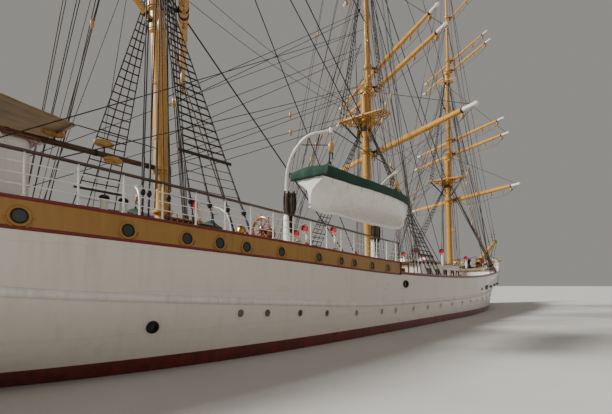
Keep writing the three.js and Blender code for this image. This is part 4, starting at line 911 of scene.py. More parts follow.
def forecastle_bell(b):
    """The capstan's bed, and the bell in its frame."""
    z = deck_z("forecastle", CAPSTAN_X)
    b.lathe([(0, 0), (.62, 0), (.62, .09), (.58, .12), (0, .12)], "iron", (CAPSTAN_X, 0, z), 28)
    for y in (-.35, .35):
        b.tubes([(18.2, y, z - .6), (18.2, y, z + .75)], .05, "teak", 8)
    b.boxes((18.2, 0, z + .76), (.14, .9, .07), "teak")
    b.lathe([(0, .36), (.06, .35), (.1, .26), (.12, .12), (.18, .02), (.2, 0), (.17, .01)], "brass",
            (18.2, 0, z + .34), 20)


def rails():
    """Guard rails of the raised decks, on both sides."""
    for name, start, end in (("quarterdeck", STERN + .03, BREAK_AFT - .07), ("forecastle", 17.55, 28.9)):
        for side, label in ((-1, "starboard"), (1, "port")):
            rail(name, start, end, side, label)


def rail(name, start, end, side, label):
    """Rail: a rounded cap swept along the deck edge, three thin bars, and turned stanchions."""
    bars, shape = (.26, .48, .71), [(.055, 0), (.05, .03), (.026, .06), (.021, .93)]
    b = Build()
    path = edge_path(start, end, .07, 0, (end - start) / 600)
    if name == "quarterdeck":
        path = np.concatenate([xyz(start, np.linspace(.005, path[0, 1], 8), path[0, 2]), path[1:]])
    run = np.r_[0, np.cumsum(np.linalg.norm(np.diff(path[:, :2], axis=0), axis=1))]
    at = lambda d: np.stack([np.interp(d, run, path[:, k]) for k in range(3)], -1)
    smooth = at(np.linspace(0, run[-1], int(run[-1] / .35) + 2))
    b.sweep(smooth + (0, 0, .945), rounded(.14, .055, .45), "dark_teak")
    for h in bars:
        b.tubes(smooth + (0, 0, h), .012, "white", 6, caps=False)
    posts = np.arange(FIRST_POST, end, bpy.context.scene.ship_sizes.stanchion_step)
    x_at = np.interp(posts, smooth[1:, 0], np.linspace(0, run[-1], len(smooth))[1:])
    foot = at(x_at[x_at < run[-1] - .05])
    for p in foot:
        b.lathe(shape, "white", p, 8)
    balls = (foot[:, None] + np.array([(0, 0, h) for h in bars])).reshape(-1, 3)
    b.tubes(np.stack([balls - (0, 0, .035), balls, balls + (0, 0, .035)], 1), [.01, .03, .01],
            "white", 8, caps=False)
    if name == "quarterdeck":
        last = at(run[-1] - .02)
        b.tubes([last + (0, 0, .94), last + (.02, 0, 0)], .035, "dark_teak", 8)
    if side < 0:
        b.points = [p * (1, -1, 1) for p in b.points]
    b.finish(f"{name}_rail_{label}", replaces=[f"rail_{name}_{label}"], slot="teak")


def window(b, place, turn, wide=.6, tall=.55):
    """Window: bevelled teak frame round a dark pane, in the frame that its wall gives."""
    b.at(place, turn)
    ring = np.array([(-1, -1), (1, -1), (1, 1), (-1, 1)]) / 2 * (wide, tall)
    b.tiers(ring, [(1.0, 0.0), (1.22, .0), (1.22, .05), (1.12, .07), (1.0, .04), (1.0, -.03)], "teak")
    b.face(np.column_stack([ring * 1.01, np.zeros(4)]), "glass")
    b.at()


def wall_frame(out):
    """Axes of a wall that faces along out: across, up and outward."""
    out = np.array(out, float)
    return np.stack([np.cross((0, 0, 1), out), (0, 0, 1), out], -1)


def houses():
    """The deck houses."""
    for name, row in HOUSES.items():
        house(name, *row)


def house(name, deck, aft, fore, half, height, windows):
    """House: a plan with round corners (cx + r cos u, cy + r sin u) carried up through mouldings, a
    cambered roof, windows, and a door on its own hinge."""
    u, r = np.linspace(0, np.pi / 2, 6), .22
    z = deck_z(deck, (aft + fore) / 2)
    top, low = z + height, min(deck_z(deck, aft), deck_z(deck, fore))
    b = Build()
    long = (fore - aft) / 2
    plan = np.concatenate([np.stack([cx + r * np.cos(u + q * np.pi / 2),
                                     cy + r * np.sin(u + q * np.pi / 2)], -1)
                           for q, (cx, cy) in enumerate(((long - r, half - r), (r - long, half - r),
                                                         (r - long, r - half), (long - r, r - half)))])
    centre, proud = ((aft + fore) / 2, 0), 1 + .02 / half
    b.tiers(plan, [(1, low - .02), (1, z + .12), (proud, z + .13), (proud, z + .16), (1, z + .17),
                   (1, top - .3), (proud, top - .29), (proud, top - .25), (1, top - .24),
                   (1, top - .06)], "white", centre)
    b.tiers(plan, [((k, 1 + (k - 1) * 1.2), h) for k, h in ((proud, -.06), (1.07, -.07), (1.085, -.03),
                                                            (1.07, .0))], "teak", centre, top)
    b.tiers(plan, [(1.07, .0), (.9, .05), (.5, .085), (.0, .1)], "deck", centre, top)
    for x in windows:
        for side in (-1, 1):
            window(b, (x, side * (half + .005), top - .82), wall_frame((0, side, 0)))
    # Handrail on the roof edge, on its feet
    for side in (-1, 1):
        rail = xyz(np.linspace(aft + .2, fore - .2, 12), side * (half - .1), top + .13)
        b.tubes(rail, .022, "teak", 8)
        b.boxes(rail - (0, 0, .07), (.05, .05, .1), "teak")
    if name == "deck_house":
        for x in (5.2, 9.2):
            cowl(b, x, 0, top + .95, top + .05)
        for side in (-1, 1):
            b.boxes((7.4, side * .9, top + .3), (1.5, .7, .5), "white")
            b.boxes((7.4, side * .9, top + .57), (1.56, .76, .05), "teak")
    # Door: where its wall is and which way it faces, its two jambs, its height, the windows beside it
    door_x, out, y0, y1, tall, beside = {
        "chart_house": (-21.8, 1, .35, 1.1, 1.75, (-1.1, -.3)),
        "deck_house": (3.2, -1, -1.2, -.4, 2, (.6, 1.4))}[name]
    wide, middle = y1 - y0, (y0 + y1) / 2
    for y in (y0 - .05, y1 + .05):
        b.boxes((door_x + out * .015, y, z + tall / 2 + .06), (.06, .09, tall), "teak")
    b.boxes((door_x + out * .015, middle, z + tall + .07), (.06, wide + .19, .09), "teak")
    b.boxes((door_x + out * .08, middle, z + .1), (.2, wide + .19, .06), "brass")
    for y in beside:
        window(b, (door_x + out * .005, y, top - .85), wall_frame((out, 0, 0)), .5, .5)
    b.finish(name + "_dressed", replaces=[name], slot="white_paint", bevel=.006)
    d = Build()
    d.boxes((door_x - out * .05, middle, z + tall / 2 + .08), (.08, wide - .03, tall - .2), "teak")
    for h in (.45, .95):
        d.boxes((door_x - out * .008, middle, z + h), (.03, wide * .6, .38), "mahogany")
    d.at((door_x, middle, z + tall - .4), wall_frame((out, 0, 0)))
    d.lathe([(.15, -.01), (.15, .02), (.19, .03), (.22, .015), (.22, -.01)], "brass", sides=20)
    d.lathe([(0, .012), (.15, .012)], "glass", sides=20)
    d.at()
    d.tubes([(door_x, y1 - .09, z + .95), (door_x + out * .06, y1 - .09, z + .95),
             (door_x + out * .06, y1 - .2, z + .95)], .014, "brass", 8)
    d.finish(name + "_door_panel", body=name + "_door", replaces=[name + "_door"], slot="teak",
             bevel=.004)


def helm():
    """Wheel: turned rims and spokes about the shaft, p = (h, r cos u, r sin u)."""
    x, z = WHEEL_X, WHEEL_Z
    w = Build().at((x, 0, z))
    rim = [(.505, -.02), (.515, -.035), (.55, -.042), (.6, -.042), (.635, -.03), (.645, 0), (.635, .03),
           (.6, .042), (.55, .042), (.515, .035), (.505, .02), (.505, -.02)]
    w.lathe(rim, "mahogany", sides=64, axis="x")
    for h in (-.045, .045):
        w.lathe([(.56, h - .004), (.59, h - .004), (.59, h + .004), (.56, h + .004)], "brass", sides=64,
                axis="x")
    w.lathe([(0, -.13), (.05, -.125), (.06, -.09), (.13, -.07), (.15, -.04), (.15, .04), (.13, .07),
             (.06, .09), (.05, .095), (0, .1)], "mahogany", sides=32, axis="x")
    w.lathe([(0, -.14), (.045, -.135), (.05, -.12), (.05, -.1)], "brass", sides=24, axis="x")
    spoke = np.array([(.03, .12), (.03, .2), (.044, .24), (.024, .28), (.03, .36), (.04, .44), (.03, .5),
                      (.03, .66), (.022, .68), (.036, .73), (.03, .78), (.0, .8)])
    for k in range(8):
        a = k * np.pi / 4
        way = np.array([0, math.cos(a), math.sin(a)])
        w.tubes(way * spoke[:, 1:], spoke[:, 0], "mahogany", 12, caps=False)
    w.finish("steering_wheel", body="wheel", replaces=["wheel"], slot="teak")
    deck = deck_z("quarter", x)
    b = Build()
    b.boxes((x + .47, 0, deck + .62), (.5, .46, 1.2), "teak")
    b.boxes((x + .47, 0, deck + .03), (.66, .62, .07), "mahogany")
    b.boxes((x + .47, 0, deck + 1.23), (.6, .56, .05), "mahogany")
    b.lathe([(.3, -.28), (.3, .28), (.26, .3), (0, .3)], "teak", (x + .47, 0, deck + 1.2), 28, "x")
    b.lathe([(.3, -.28), (0, -.29)], "teak", (x + .47, 0, deck + 1.2), 28, "x")
    b.lathe([(.06, -.4), (.06, -.25), (.1, -.24), (.1, -.2)], "brass", (x + .5, 0, z), 20, "x")
    b.boxes((x - .75, 0, deck + .03), (1.1, 1.5, .05), "teak")
    for y in np.arange(-.65, .7, .16):
        b.boxes((x - .75, y, deck + .065), (1.1, .06, .03), "mahogany")
    b.finish("wheel_box", replaces=["wheel_stand"], slot="teak", bevel=.006)
    n = Build()
    foot = deck_z("quarter", COMPASS_X)
    n.lathe([(0, .0), (.24, 0), (.24, .06), (.2, .1), (.15, .16), (.13, .5), (.15, .84), (.2, .9),
             (.24, .94)], "mahogany", (COMPASS_X, 0, foot), 8)
    n.lathe([(.245, .94), (.25, 1.0), (.235, 1.08), (.2, 1.22), (.12, 1.32), (.05, 1.36), (.04, 1.4),
             (0, 1.41)], "brass", (COMPASS_X, 0, foot), 28)
    n.at((COMPASS_X, -.1, foot + 1.16), wall_frame((-.93, 0, .37)))
    n.lathe([(.1, .11), (.1, .15), (.0, .15)], "glass", sides=20)
    n.at()
    for side in (-1, 1):
        n.tubes([(COMPASS_X, side * k, foot + .86) for k in (.14, .3)], .02, "brass", 8)
        n.lathe([(0, -.1), (.06, -.08), (.095, -.03), (.1, 0), (.095, .03), (.06, .08), (0, .1)],
                "maroon", (COMPASS_X, side * .34, foot + .93), 18)
    n.finish("compass_stand", replaces=["binnacle"], slot="bronze")


def forecastle_gear():
    """Capstan turned about its shaft, the anchors, chains of oval links (c + .1 cos u along the chain,
    .055 sin u across it), and the catheads."""
    c = Build().at((CAPSTAN_X, 0, deck_z("forecastle", CAPSTAN_X) + .12))
    c.lathe([(0, .005), (.42, .005), (.42, .1), (.36, .14), (.27, .25), (.23, .4), (.24, .6), (.34, .73),
             (.37, .76), (.37, .94), (.33, .98), (.1, 1.0), (0, 1.0)], "iron", sides=32)
    for k in range(8):
        a = k * np.pi / 4
        p = np.array([math.cos(a), math.sin(a), 0])
        c.tubes([p * .43 + (0, 0, .06), p * .255 + (0, 0, .26), p * .255 + (0, 0, .55),
                 p * .345 + (0, 0, .72)], .03, "iron", 6)
        c.boxes(p * .372 + (0, 0, .85), (.05, .05, .08), "zinc")
    c.lathe([(.12, 1.0), (.12, 1.01), (.0, 1.01)], "brass", sides=24)
    c.finish("capstan_drum", body="capstan", replaces=["capstan"], slot="iron")
    for side, name in ((-1, "starboard"), (1, "port")):
        anchor(side, name)
    g = Build()
    # Chain from each anchor to the capstan's bed: links turned a quarter each
    z = deck_z("forecastle", 23.4)
    for side in (-1, 1):
        a, e = np.array([25.2, side * 1.1, z + .1]), np.array([22.75, side * .38, z + .04])
        links = int(np.linalg.norm(e - a) / .13)
        u = np.linspace(0, 2 * np.pi, 13)
        way = (e - a) / np.linalg.norm(e - a)
        across = np.cross((0, 0, 1), way)
        for k in range(links):
            c = a + (e - a) * (k + .5) / links
            flat = across if k % 2 else np.array([0, 0, 1.])
            g.tubes(c + np.outer(.1 * np.cos(u), way) + np.outer(.055 * np.sin(u), flat), .018, "iron", 5)
        # Cathead
        y = deck_half(26.2)
        g.tubes([(25.6, side * (y - .6), 4.95), (26.4, side * (y + .7), 5.25)], .13, "ochre", 4)
    g.finish("forecastle_chain", slot="iron")


def anchor(side, name):
    """Anchor: shank, crown and two flukes of tapering section, and the shackle's ring."""
    x, a = 24.1, math.radians(16 * side)
    z = deck_z("forecastle", x) - .05
    b = Build().at((x, side * 1.35, z), turned(a))
    b.tubes([(-1, 0, .15), (-.2, 0, .14), (1, 0, .13)], [.1, .085, .07], "iron", 10)
    b.tubes([(-.94, -.86, .12), (-.98, 0, .13), (-.94, .86, .12)], [.07, .1, .07], "iron", 12)
    for y in (-.7, .7):
        p = np.array([(-.95, y, .12), (-.7, y * .98, .16), (-.3, y * .95, .13), (-.18, y * .93, .1)])
        b.grid([q + np.array([(0, -w, -t), (0, w, -t), (0, w, t), (0, -w, t)])
                for q, w, t in zip(p, (.2, .17, .06, .02), (.06, .05, .035, .015))], "iron", close=True)
    u = np.linspace(0, 2 * np.pi, 20)
    b.tubes(xyz(1.06 + .13 * np.cos(u), .13 * np.sin(u), .13), .03, "iron", 8)
    b.finish(f"anchor_{name}_forged", replaces=[f"anchor_{name}"], slot="iron")


def stern_gear():
    """Rudder: rings of a thin tapering section down the stock. Propeller: each blade is a skin at
    radius r, twisted by its pitch, (w sin p, w cos p, r), w across the chord."""
    b = Build().at((-24.7, 0, 0))
    t = np.linspace(0, 1, 12)
    z = -.3 - 4.1 * t
    fore, aft = .15, -along([(0, 1.5), (.15, 1.68), (.5, 1.85), (.85, 1.78), (1, 1.5)], t)
    s = np.array([0, .06, .2, .45, .75, .95, 1])
    thick = .115 * np.array([.75, 1, 1, .85, .5, .2, .05])
    section = fore + (aft - fore)[:, None] * s
    ring = xyz(np.hstack([section, section[:, ::-1]]), np.r_[thick, -thick[::-1]], z[:, None])
    b.grid(ring, "antifoul", close=True)
    b.face(ring[0], "antifoul")
    b.face(ring[-1], "antifoul")
    b.tubes([(0, 0, -4.54), (0, 0, .58)], .13, "iron", 20)
    b.finish("rudder_blade", body="rudder", replaces=["rudder"], slot="white_paint")
    p = Build().at((-23.5, 0, -3.1))
    p.lathe([(0, -.42), (.06, -.4), (.13, -.33), (.17, -.2), (.21, .0), (.24, .3), (.24, .53), (0, .54)],
            "bronze", sides=32, axis="x")
    r = np.linspace(.12, 1.13, 14)
    chord = .42 * np.sqrt(np.clip(1 - ((r - .62) / .56) ** 2, .02, 1))
    pitch = np.arctan2(.8, 2 * np.pi * r / 2.2)
    u = np.linspace(-1, 1, 9)
    along_x = chord[:, None] * u * np.sin(pitch)[:, None] * .9
    around = chord[:, None] * u * np.cos(pitch)[:, None]
    out = np.sqrt(np.maximum(r[:, None] ** 2 - around ** 2 * .9, .01))
    for a in np.arange(4) * np.pi / 2:
        c, s = math.cos(a), math.sin(a)
        for skin in (-1, 1):
            thick = skin * .035 * (1 - u ** 2) * (1.2 - r[:, None])
            p.grid(xyz(along_x + thick, around * c - out * s, around * s + out * c), "bronze")
    p.finish("screw", body="propeller", replaces=["propeller"], slot="bronze")


def pole_radius(mast, z):
    """Radius of the topgallant pole, which tapers evenly to the truck."""
    low, high = MASTS[mast]["gallant_cap"], MASTS[mast]["truck"]
    return GALLANT_R - .09 * np.maximum(z - low, 0) / (high - low)


def spar_radius(mast, on, z):
    """Radius of the length of mast that a yard or wire is on, at a height."""
    return {"lower": MAST_R, "top": TOPMAST_R}.get(on) or pole_radius(mast, z)


def masts():
    """Masts: turned poles (r(z) cos u, r(z) sin u, z) in each mast's raked frame, banded and capped."""
    for mast, m in MASTS.items():
        lower_mast(mast, m)
        upper_mast(mast, m)


def upper_hounds(m):
    """Where the upper wires meet the mast: the length it is, and the height."""
    return ("top", m["trees"] - .3), ("gallant", m["gallant"]), ("gallant", m["royal"])


def lower_mast(mast, m):
    """Lower mast with its bands, pin ring, top, cheeks, cap, yard collars and wire collar."""
    foot = deck_z(m["deck"], m["x"]) - .03
    b = Build().on(mast)
    b.lathe([(.52, foot - .1), (.52, foot + .1), (.44, foot + .17), (.36, foot + .2), (.34, foot + .5),
             (.318, foot + .55), (.28, foot + 4), (.28, m["cap"] - .26), (0, m["cap"] - .24)], "ochre",
            sides=36)
    for z in np.arange(foot + 2, m["top"] - .8, 2.1):
        b.lathe(hoop(MAST_R, z, .02, .06), "ochre", sides=36)
    b.lathe([(.33, foot + 1.22), (.42, foot + 1.22), (.42, foot + 1.3), (.33, foot + 1.3)], "ochre",
            sides=36)
    # Top: crosstrees on trestle bars, with a grating of battens between them
    top = m["top"]
    for dx in (-.8, .3):
        b.boxes((dx, 0, top - .05), (.13, TOP_HALF * 2, .1), "ochre")
    for dx in (-.55, -.25, .05):
        b.boxes((dx, 0, top), (.2, TOP_HALF * 1.9, .035), "ochre")
    y = np.arange(-TOP_HALF + .1, TOP_HALF, .2)
    y = y[np.abs(y) > .3]
    b.boxes(xyz(-.25, y, top - .03), (1.1, .07, .04), "ochre")
    for side in (-1, 1):
        b.boxes((.2, side * .34, top - .13), (2.6, .11, .2), "ochre")
        b.boxes((-.25, side * TOP_HALF, top - .02), (1.24, .06, .08), "ochre")
        for dx in (-.75, .25):
            b.tubes([(dx, side * 1.3, top - .1), (dx * .3, side * .27, top - .85)], .03, "ochre", 8)
        fore = np.array([(1.5, side * .34, top - .1), (.3, side * TOP_HALF, top - .04)])
        b.tubes(fore, .03, "iron", 6)
    b.boxes((1.46, 0, top - .1), (.1, .8, .12), "ochre")
    cheek = np.array([(-.34, top - .1), (1.0, top - .1), (.6, top - .38),
                      (.12, top - 1.3), (-.12, top - 1.3), (-.34, top - .5)])
    for side in (-1, 1):
        skin = [np.insert(cheek, 1, y, axis=1) for y in (side * .25, side * .33)]
        b.grid(skin, "ochre", close=True)
        b.face(skin[1], "ochre")
        b.face(skin[0], "ochre")
    # Cap: rounded collar round both spars
    b.tiers(rounded(1.25, .66, .48, 5), [(.3, -.25), (.96, -.25), (1, -.22), (1, -.03), (.96, 0), (.3, 0)],
            "ochre", (.265, 0), m["cap"])
    b.lathe([(.28, m["cap"] - .06), (.3, m["cap"] - .04), (.3, m["cap"] + .03), (.2, m["cap"] + .07),
             (0, m["cap"] + .08)], "iron", sides=28)
    collars = [y[2] for y in YARDS if y[0] == mast and y[6] == "lower"]
    if mast == "mizzen":
        collars += [BOOM_Z, GAFF_Z]
    for z in collars:
        z -= SEAT
        b.lathe([(.27, z - .16), (.33, z - .06), (.36, z - .05), (.36, z), (.28, z)], "ochre", sides=32)
    b.lathe([(.28, -.16), (.31, -.14), (.34, -.07), (.34, .07), (.31, .14), (.28, .16)], "wire",
            (0, 0, m["hounds"]), 28)
    b.finish(f"{mast}_lower_mast_dressed", replaces=[f"{mast}_lower_mast"], slot="ochre_paint",
             bevel=.003)


def upper_mast(mast, m):
    """Topmast and topgallant pole with their heels, crosstrees, cap, collars and truck."""
    b = Build().on(mast)
    top, gallant = AXIS["top"], AXIS["gallant"]
    b.boxes((top, 0, m["top"] + .14), (.46, .46, .26), "ochre")
    b.lathe([(.21, m["top"] + .25), (.21, m["trees"] + .5), (.19, m["gallant_cap"] - .1),
             (0, m["gallant_cap"] - .1)], "ochre", (top, 0, 0), 32)
    for z in np.arange(m["cap"] + 3.2, m["trees"] - 1, 2.3):
        b.lathe(hoop(TOPMAST_R, z, .016, .05), "ochre", (top, 0, 0), 32)
    z = np.linspace(m["trees"] - .05, m["truck"] - .22, 14)
    b.lathe([(0, z[0]), *np.stack([pole_radius(mast, z), z], -1), (.05, m["truck"] - .21),
             (.13, m["truck"] - .18), (.15, m["truck"] - .12), (.13, m["truck"] - .05),
             (0, m["truck"])], "ochre", (gallant, 0, 0), 26)
    b.lathe([(.05, -.235), (.138, -.19), (.156, -.12), (.136, -.045), (0, .004)], "white",
            (gallant, 0, m["truck"]), 26)
    for y in (-.26, .26):
        b.boxes(((top + gallant - .25) / 2, y, m["trees"] - .06), (1.15, .09, .12), "ochre")
    for dx, long in ((-.34, 2.1), (.24, 1.5), (.6, 1.0)):
        b.boxes((top + dx, 0, m["trees"] - .02), (.08, long, .09), "ochre")
    b.tiers(rounded(1.05, .46, .48, 5), [(.3, -.2), (.96, -.2), (1, -.17), (1, -.03), (.96, 0), (.3, 0)],
            "ochre", ((top + gallant) / 2, 0), m["gallant_cap"])
    for _, _, z, _, _, _, part in [y for y in YARDS if y[0] == mast and y[6] != "lower"]:
        r = spar_radius(mast, part, z)
        z -= SEAT
        b.lathe([(r - .01, z - .14), (r + .05, z - .05), (r + .075, z - .04), (r + .075, z), (r, z)],
                "ochre", (AXIS[part], 0, 0), 26)
    for part, z in upper_hounds(m):
        r = spar_radius(mast, part, z)
        b.lathe([(r, z - .12), (r + .03, z - .1), (r + .05, z - .04), (r + .05, z + .04),
                 (r + .03, z + .1), (r, z + .12)], "wire", (AXIS[part], 0, 0), 24)
    b.finish(f"{mast}_upper_mast_dressed", replaces=[f"{mast}_upper_mast"], slot="ochre_paint",
             bevel=.003)


def yards():
    """Yards: turned spars, each riding on its own joint."""
    for row in YARDS:
        yard(*row)


def yard(mast, name, height, half, radius, brace, part):
    """One yard (r(y) cos u, y, r(y) sin u) with bands, jackstay, footropes, parrel and blocks."""
    b = Build().on(mast, AXIS[part], height, brace)
    reach = REACH[part]
    arm = .1 * half + .12
    shape = lambda y: radius * np.interp(np.abs(y) / half, (0, .12, .55, .85, 1), (1, 1, .82, .6, .45))
    mid = np.linspace(-half + arm, half - arm, 33)
    b.lathe(np.stack([shape(mid), mid], -1), "ochre", (reach, 0, 0), 24, "y")
    for side in (-1, 1):
        y = np.array([half - arm, half - arm / 2, half - .1, half - .03, half])
        r = shape(y) * (1.0, 1.0, 1.0, .95, .6)
        b.lathe([*np.stack([r, side * y], -1), (0, side * half)], "white", (reach, 0, 0), 24, "y")
        for y, paint in ((half - arm, "iron"), (half - .14, "white")):
            b.lathe(hoop(shape(y), side * y, .022, .06), paint, (reach, 0, 0), 24, "y")
    for y in [sign * k * half for k in (.07, .25, .42, .58, .74) for sign in (-1, 1)]:
        b.lathe(hoop(shape(y), y, .018, .05), "ochre", (reach, 0, 0), 24, "y")
    # Jackstay and its eyes, along the top and a little ahead
    eyes = np.linspace(-half + .5, half - .5, int(half * 2.4))
    up = xyz(reach + .05, eyes, shape(eyes) + .05)
    b.tubes(up[None], .016, "ochre", 6)
    b.bars(up - (0, 0, .07), up + (0, 0, .012), .014, "iron", 5)
    # Footropes behind, held up by stirrups
    drop = min(.62, .4 + .03 * half)
    for side in (-1, 1):
        y = np.linspace(.5, half - .25, 31)
        t = (y - y[0]) / (y[-1] - y[0])
        stirrups = max(int(half / 1.9), 2)
        hang = np.minimum(1, 6 * np.minimum(t, 1 - t))
        dip = drop * hang + .06 * np.abs(np.sin(np.pi * t * (stirrups + 1)))
        line = xyz(reach - .1 * hang, side * y, -shape(y) * .6 - dip)
        b.tubes(line[None], .014, "hemp", 6)
        at = np.linspace(0, 1, stirrups + 2)[1:-1]
        foot = np.stack([np.interp(at, t, line[:, k]) for k in range(3)], -1)
        head = foot * (0, 1, 0) + (reach - .02, 0, 0)
        b.bars(head, foot, .011, "hemp", 5)
    ring = spar_radius(mast, part, height - .24) / math.cos(math.pi / 8) + .014
    b.lathe(collar(ring, .08, .12, .02), "ochre", sides=32)
    b.tubes([(ring + .04, 0, 0), (reach - radius * .7, 0, 0)], [.085, .07], "iron", 14)
    for y in (-.2, .2):
        b.lathe(hoop(radius + .002, y, .028, .05, .005), "iron", (reach, 0, 0), 28, "y")
    for side in (-1, 1):
        for y, z in ((half - arm, -.24), (.45, -.24), (half * .6, -.2)):
            block(b, (reach, side * y, z - shape(y) * .8), 1 + .3 * (y == half - arm))
    body = f"{mast}_{name}_yard"
    b.finish(body + "_spar", body=body, replaces=[body], slot="ochre_paint")


def block(b, place, size=1.0):
    """Wooden block: an oval shell turned about y, with an iron strap and pin."""
    x, y, z = place
    r = np.array([.0, .06, .085, .09, .085, .06, .0]) * size
    h = np.array([-.05, -.05, -.035, 0, .035, .05, .05]) * size
    u = circle(1, 14)
    p = xyz(x + r[:, None] * u[:, 0], y + h[:, None], z + 1.35 * r[:, None] * u[:, 1])
    b.grid(p, "oak", close=True)
    b.tubes([(x, y - .062 * size, z), (x, y + .062 * size, z)], .018 * size, "iron", 6)
    b.tubes([(x, y, z + .1 * size), (x, y, z + .19 * size)], .016 * size, "iron", 6)


def spindle(b, places):
    """Long golden blocks on the running lines, turned along the line."""
    shape = [(0, -.2), (.035, -.19), (.07, -.1), (.075, 0), (.07, .1), (.035, .19), (0, .2)]
    for p in places:
        b.lathe(shape, "oak", p, 12)


def feet_of(mast):
    """Places where the lower shrouds and the backstays are set up, from forward aft."""
    first = MASTS[mast]["x"] - (.1 if mast == "mizzen" else .35)
    shrouds = first - .7 * np.arange(4)
    return shrouds, shrouds[-1] - np.array(BACKSTAYS[mast])


def set_up(x, side):
    """Point on the ship's side where a wire is set up."""
    inset = np.where(x < BREAK_AFT, .29, BULWARK / 2)
    return xyz(x, side * (deck_half(x) - inset), hull_top(x) + .06)


def screws(b, feet, heads, size=1.0):
    """Rigging screws: a plate on the side, a black barrel, a round cover, and the wire's served end."""
    way = (heads - feet) / np.linalg.norm(heads - feet, axis=-1, keepdims=True)
    b.bars(feet - way * .05, feet + way * .12, .035 * size, "iron", 6)
    b.tubes(np.stack([feet + way * k for k in (.1, .14, .2, .5, .56, .72)], 1),
            np.array([.018, .018, .034, .034, .018, .018]) * size, "iron", 8)
    b.tubes(np.stack([feet + way * k * size for k in (.7, .72, .78, .84, .9, .92)], 1),
            np.array([.02, .055, .08, .08, .055, .02]) * size, "iron", 10)
    b.bars(feet + way * .9, feet + way * 1.6, .034 * size, "wire", 8)


def ratlines(b, rows, spacing, radius, low, high):
    """Ratlines: level lines across a row of shrouds, given as (foot, head) pairs."""
    feet, heads = rows
    z = np.arange(low, high, spacing)
    t = (z[:, None] - feet[:, 2]) / (heads[:, 2] - feet[:, 2])
    p = feet + t[..., None] * (heads - feet)
    p[:, 1:-1, 2] -= .012
    b.tubes(p, radius, "wire", 5, caps=False)


def rigging():
    """Standing rigging: straight wires between the masts and the sides, p = a + t (b - a)."""
    step = bpy.context.scene.ship_sizes.ratline_step
    for mast, m in MASTS.items():
        shrouds(mast, m, step)
        stays(mast, m, step)


def shrouds(mast, m, step):
    """Lower shrouds with their screws, ratlines and battens, futtock shrouds, and the lower stay."""
    b = Build()
    shroud_x = feet_of(mast)[0]
    for side in (-1, 1):
        feet = set_up(shroud_x, side)
        heads = on_mast(mast, np.array([.08, .03, -.03, -.08]), side * .31,
                        m["hounds"] + np.array([0, .02, .04, .06]))
        b.bars(feet, heads, .026, "wire", 8, caps=False)
        screws(b, feet, heads)
        bar = np.stack([feet[0] + (.15, 0, -.02), feet[-1] + (-.15, 0, -.02)])
        b.sweep(bar, rounded(.1, .07), "iron")
        batten = feet[:, 2].max() + (2.4 if mast == "mizzen" else 1.2)
        ratlines(b, (feet, heads), step, .012, batten - (4.3 if mast == "mizzen" else 2.2) * step,
                 batten - .1)
        ratlines(b, (feet, heads), step, .027, batten + step, m["top"] - 1.2)
        t = ((batten - feet[:, 2]) / (heads[:, 2] - feet[:, 2]))[:, None]
        pole = feet + t * (heads - feet)
        b.sweep(np.stack([pole[0] + (.2, 0, 0), pole[-1] - (.2, 0, 0)]), rounded(.05, .1), "dark_wood")
        # Futtock shrouds, from the mast out to the top's rim
        rim = on_mast(mast, np.array([-.7, -.35, 0]), side * 1.66, m["top"] - .04)
        base = on_mast(mast, np.array([-.1, 0, .1]), side * .32, m["top"] - 1.7)
        b.bars(base, rim, .022, "wire", 6, caps=False)
        ratlines(b, (base, rim), .3, .014, m["top"] - 1.4, m["top"] - .3)
    lands = {"mizzen": on_mast("main", -.5, 0, 2.3), "main": on_mast("fore", -.5, 0, 2.9),
             "fore": HEEL + .34 * (TIP - HEEL) + (0, 0, .31)}[mast]
    head = on_mast(mast, .33, 0, m["hounds"])
    b.tubes([lands, head], .032, "wire", 8, caps=False)
    screws(b, lands[None], head[None], 1.3)
    b.finish(f"{mast}_shrouds", replaces=[f"{mast}_lower_rigging"], slot="wire")


def stays(mast, m, step):
    """Backstays, topmast and topgallant shrouds with their ratlines, and the upper stays."""
    back_x = feet_of(mast)[1]
    b = Build()
    for side in (-1, 1):
        for k, (part, z) in enumerate(upper_hounds(m)):
            r = spar_radius(mast, part, z) + .04
            head = on_mast(mast, AXIS[part] - .04, side * r, z)[None]
            feet = set_up(back_x[k:k + 1], side)
            b.bars(feet, head, .02 - .002 * k, "wire", 7, caps=False)
            screws(b, feet, head, .8)
        bar = set_up(np.array([back_x[0] + .2, back_x[-1] - .2]), side) + (0, 0, -.02)
        b.sweep(bar, rounded(.1, .07), "iron")
        # Topmast shrouds from the top's rim, topgallant shrouds from the crosstrees
        feet = on_mast(mast, np.array([.05, -.35, -.7]), side * 1.64, m["top"] + .05)
        heads = on_mast(mast, np.array([.58, .53, .48]), side * .25, m["trees"] - .3)
        b.bars(feet, heads, .026, "wire", 7, caps=False)
        screws(b, feet, heads, .7)
        ratlines(b, (feet, heads), step, .018, m["top"] + 1.5, m["trees"] - 1.2)
        feet = on_mast(mast, np.array([.21, .21]), side * 1.0, m["trees"] + .02)
        heads = on_mast(mast, AXIS["gallant"] - .04, side * np.array([.13, .1]),
                        np.array([m["gallant"], m["royal"]]))
        b.bars(feet, heads, .018, "wire", 6, caps=False)
    lands = {"mizzen": [on_mast("main", *q) for q in ((-.42, 0, 12.6), (.25, 0, 21), (.25, 0, 24.4))],
             "main": [on_mast("fore", *q) for q in ((-.42, 0, 11.7), (.25, 0, 20), (.25, 0, 23.2))],
             "fore": [HEEL + k * (TIP - HEEL) + (0, 0, .31) for k in (.66, .86, .985)]}[mast]
    for foot, (part, z) in zip(lands, upper_hounds(m)):
        head = on_mast(mast, AXIS[part] + spar_radius(mast, part, z) + .03, 0, z)
        b.tubes([foot, head], .03 if part == "top" else .022, "wire", 8, caps=False)
        screws(b, foot[None], head[None])
    b.finish(f"{mast}_stays", replaces=[f"{mast}_upper_rigging"], slot="wire")


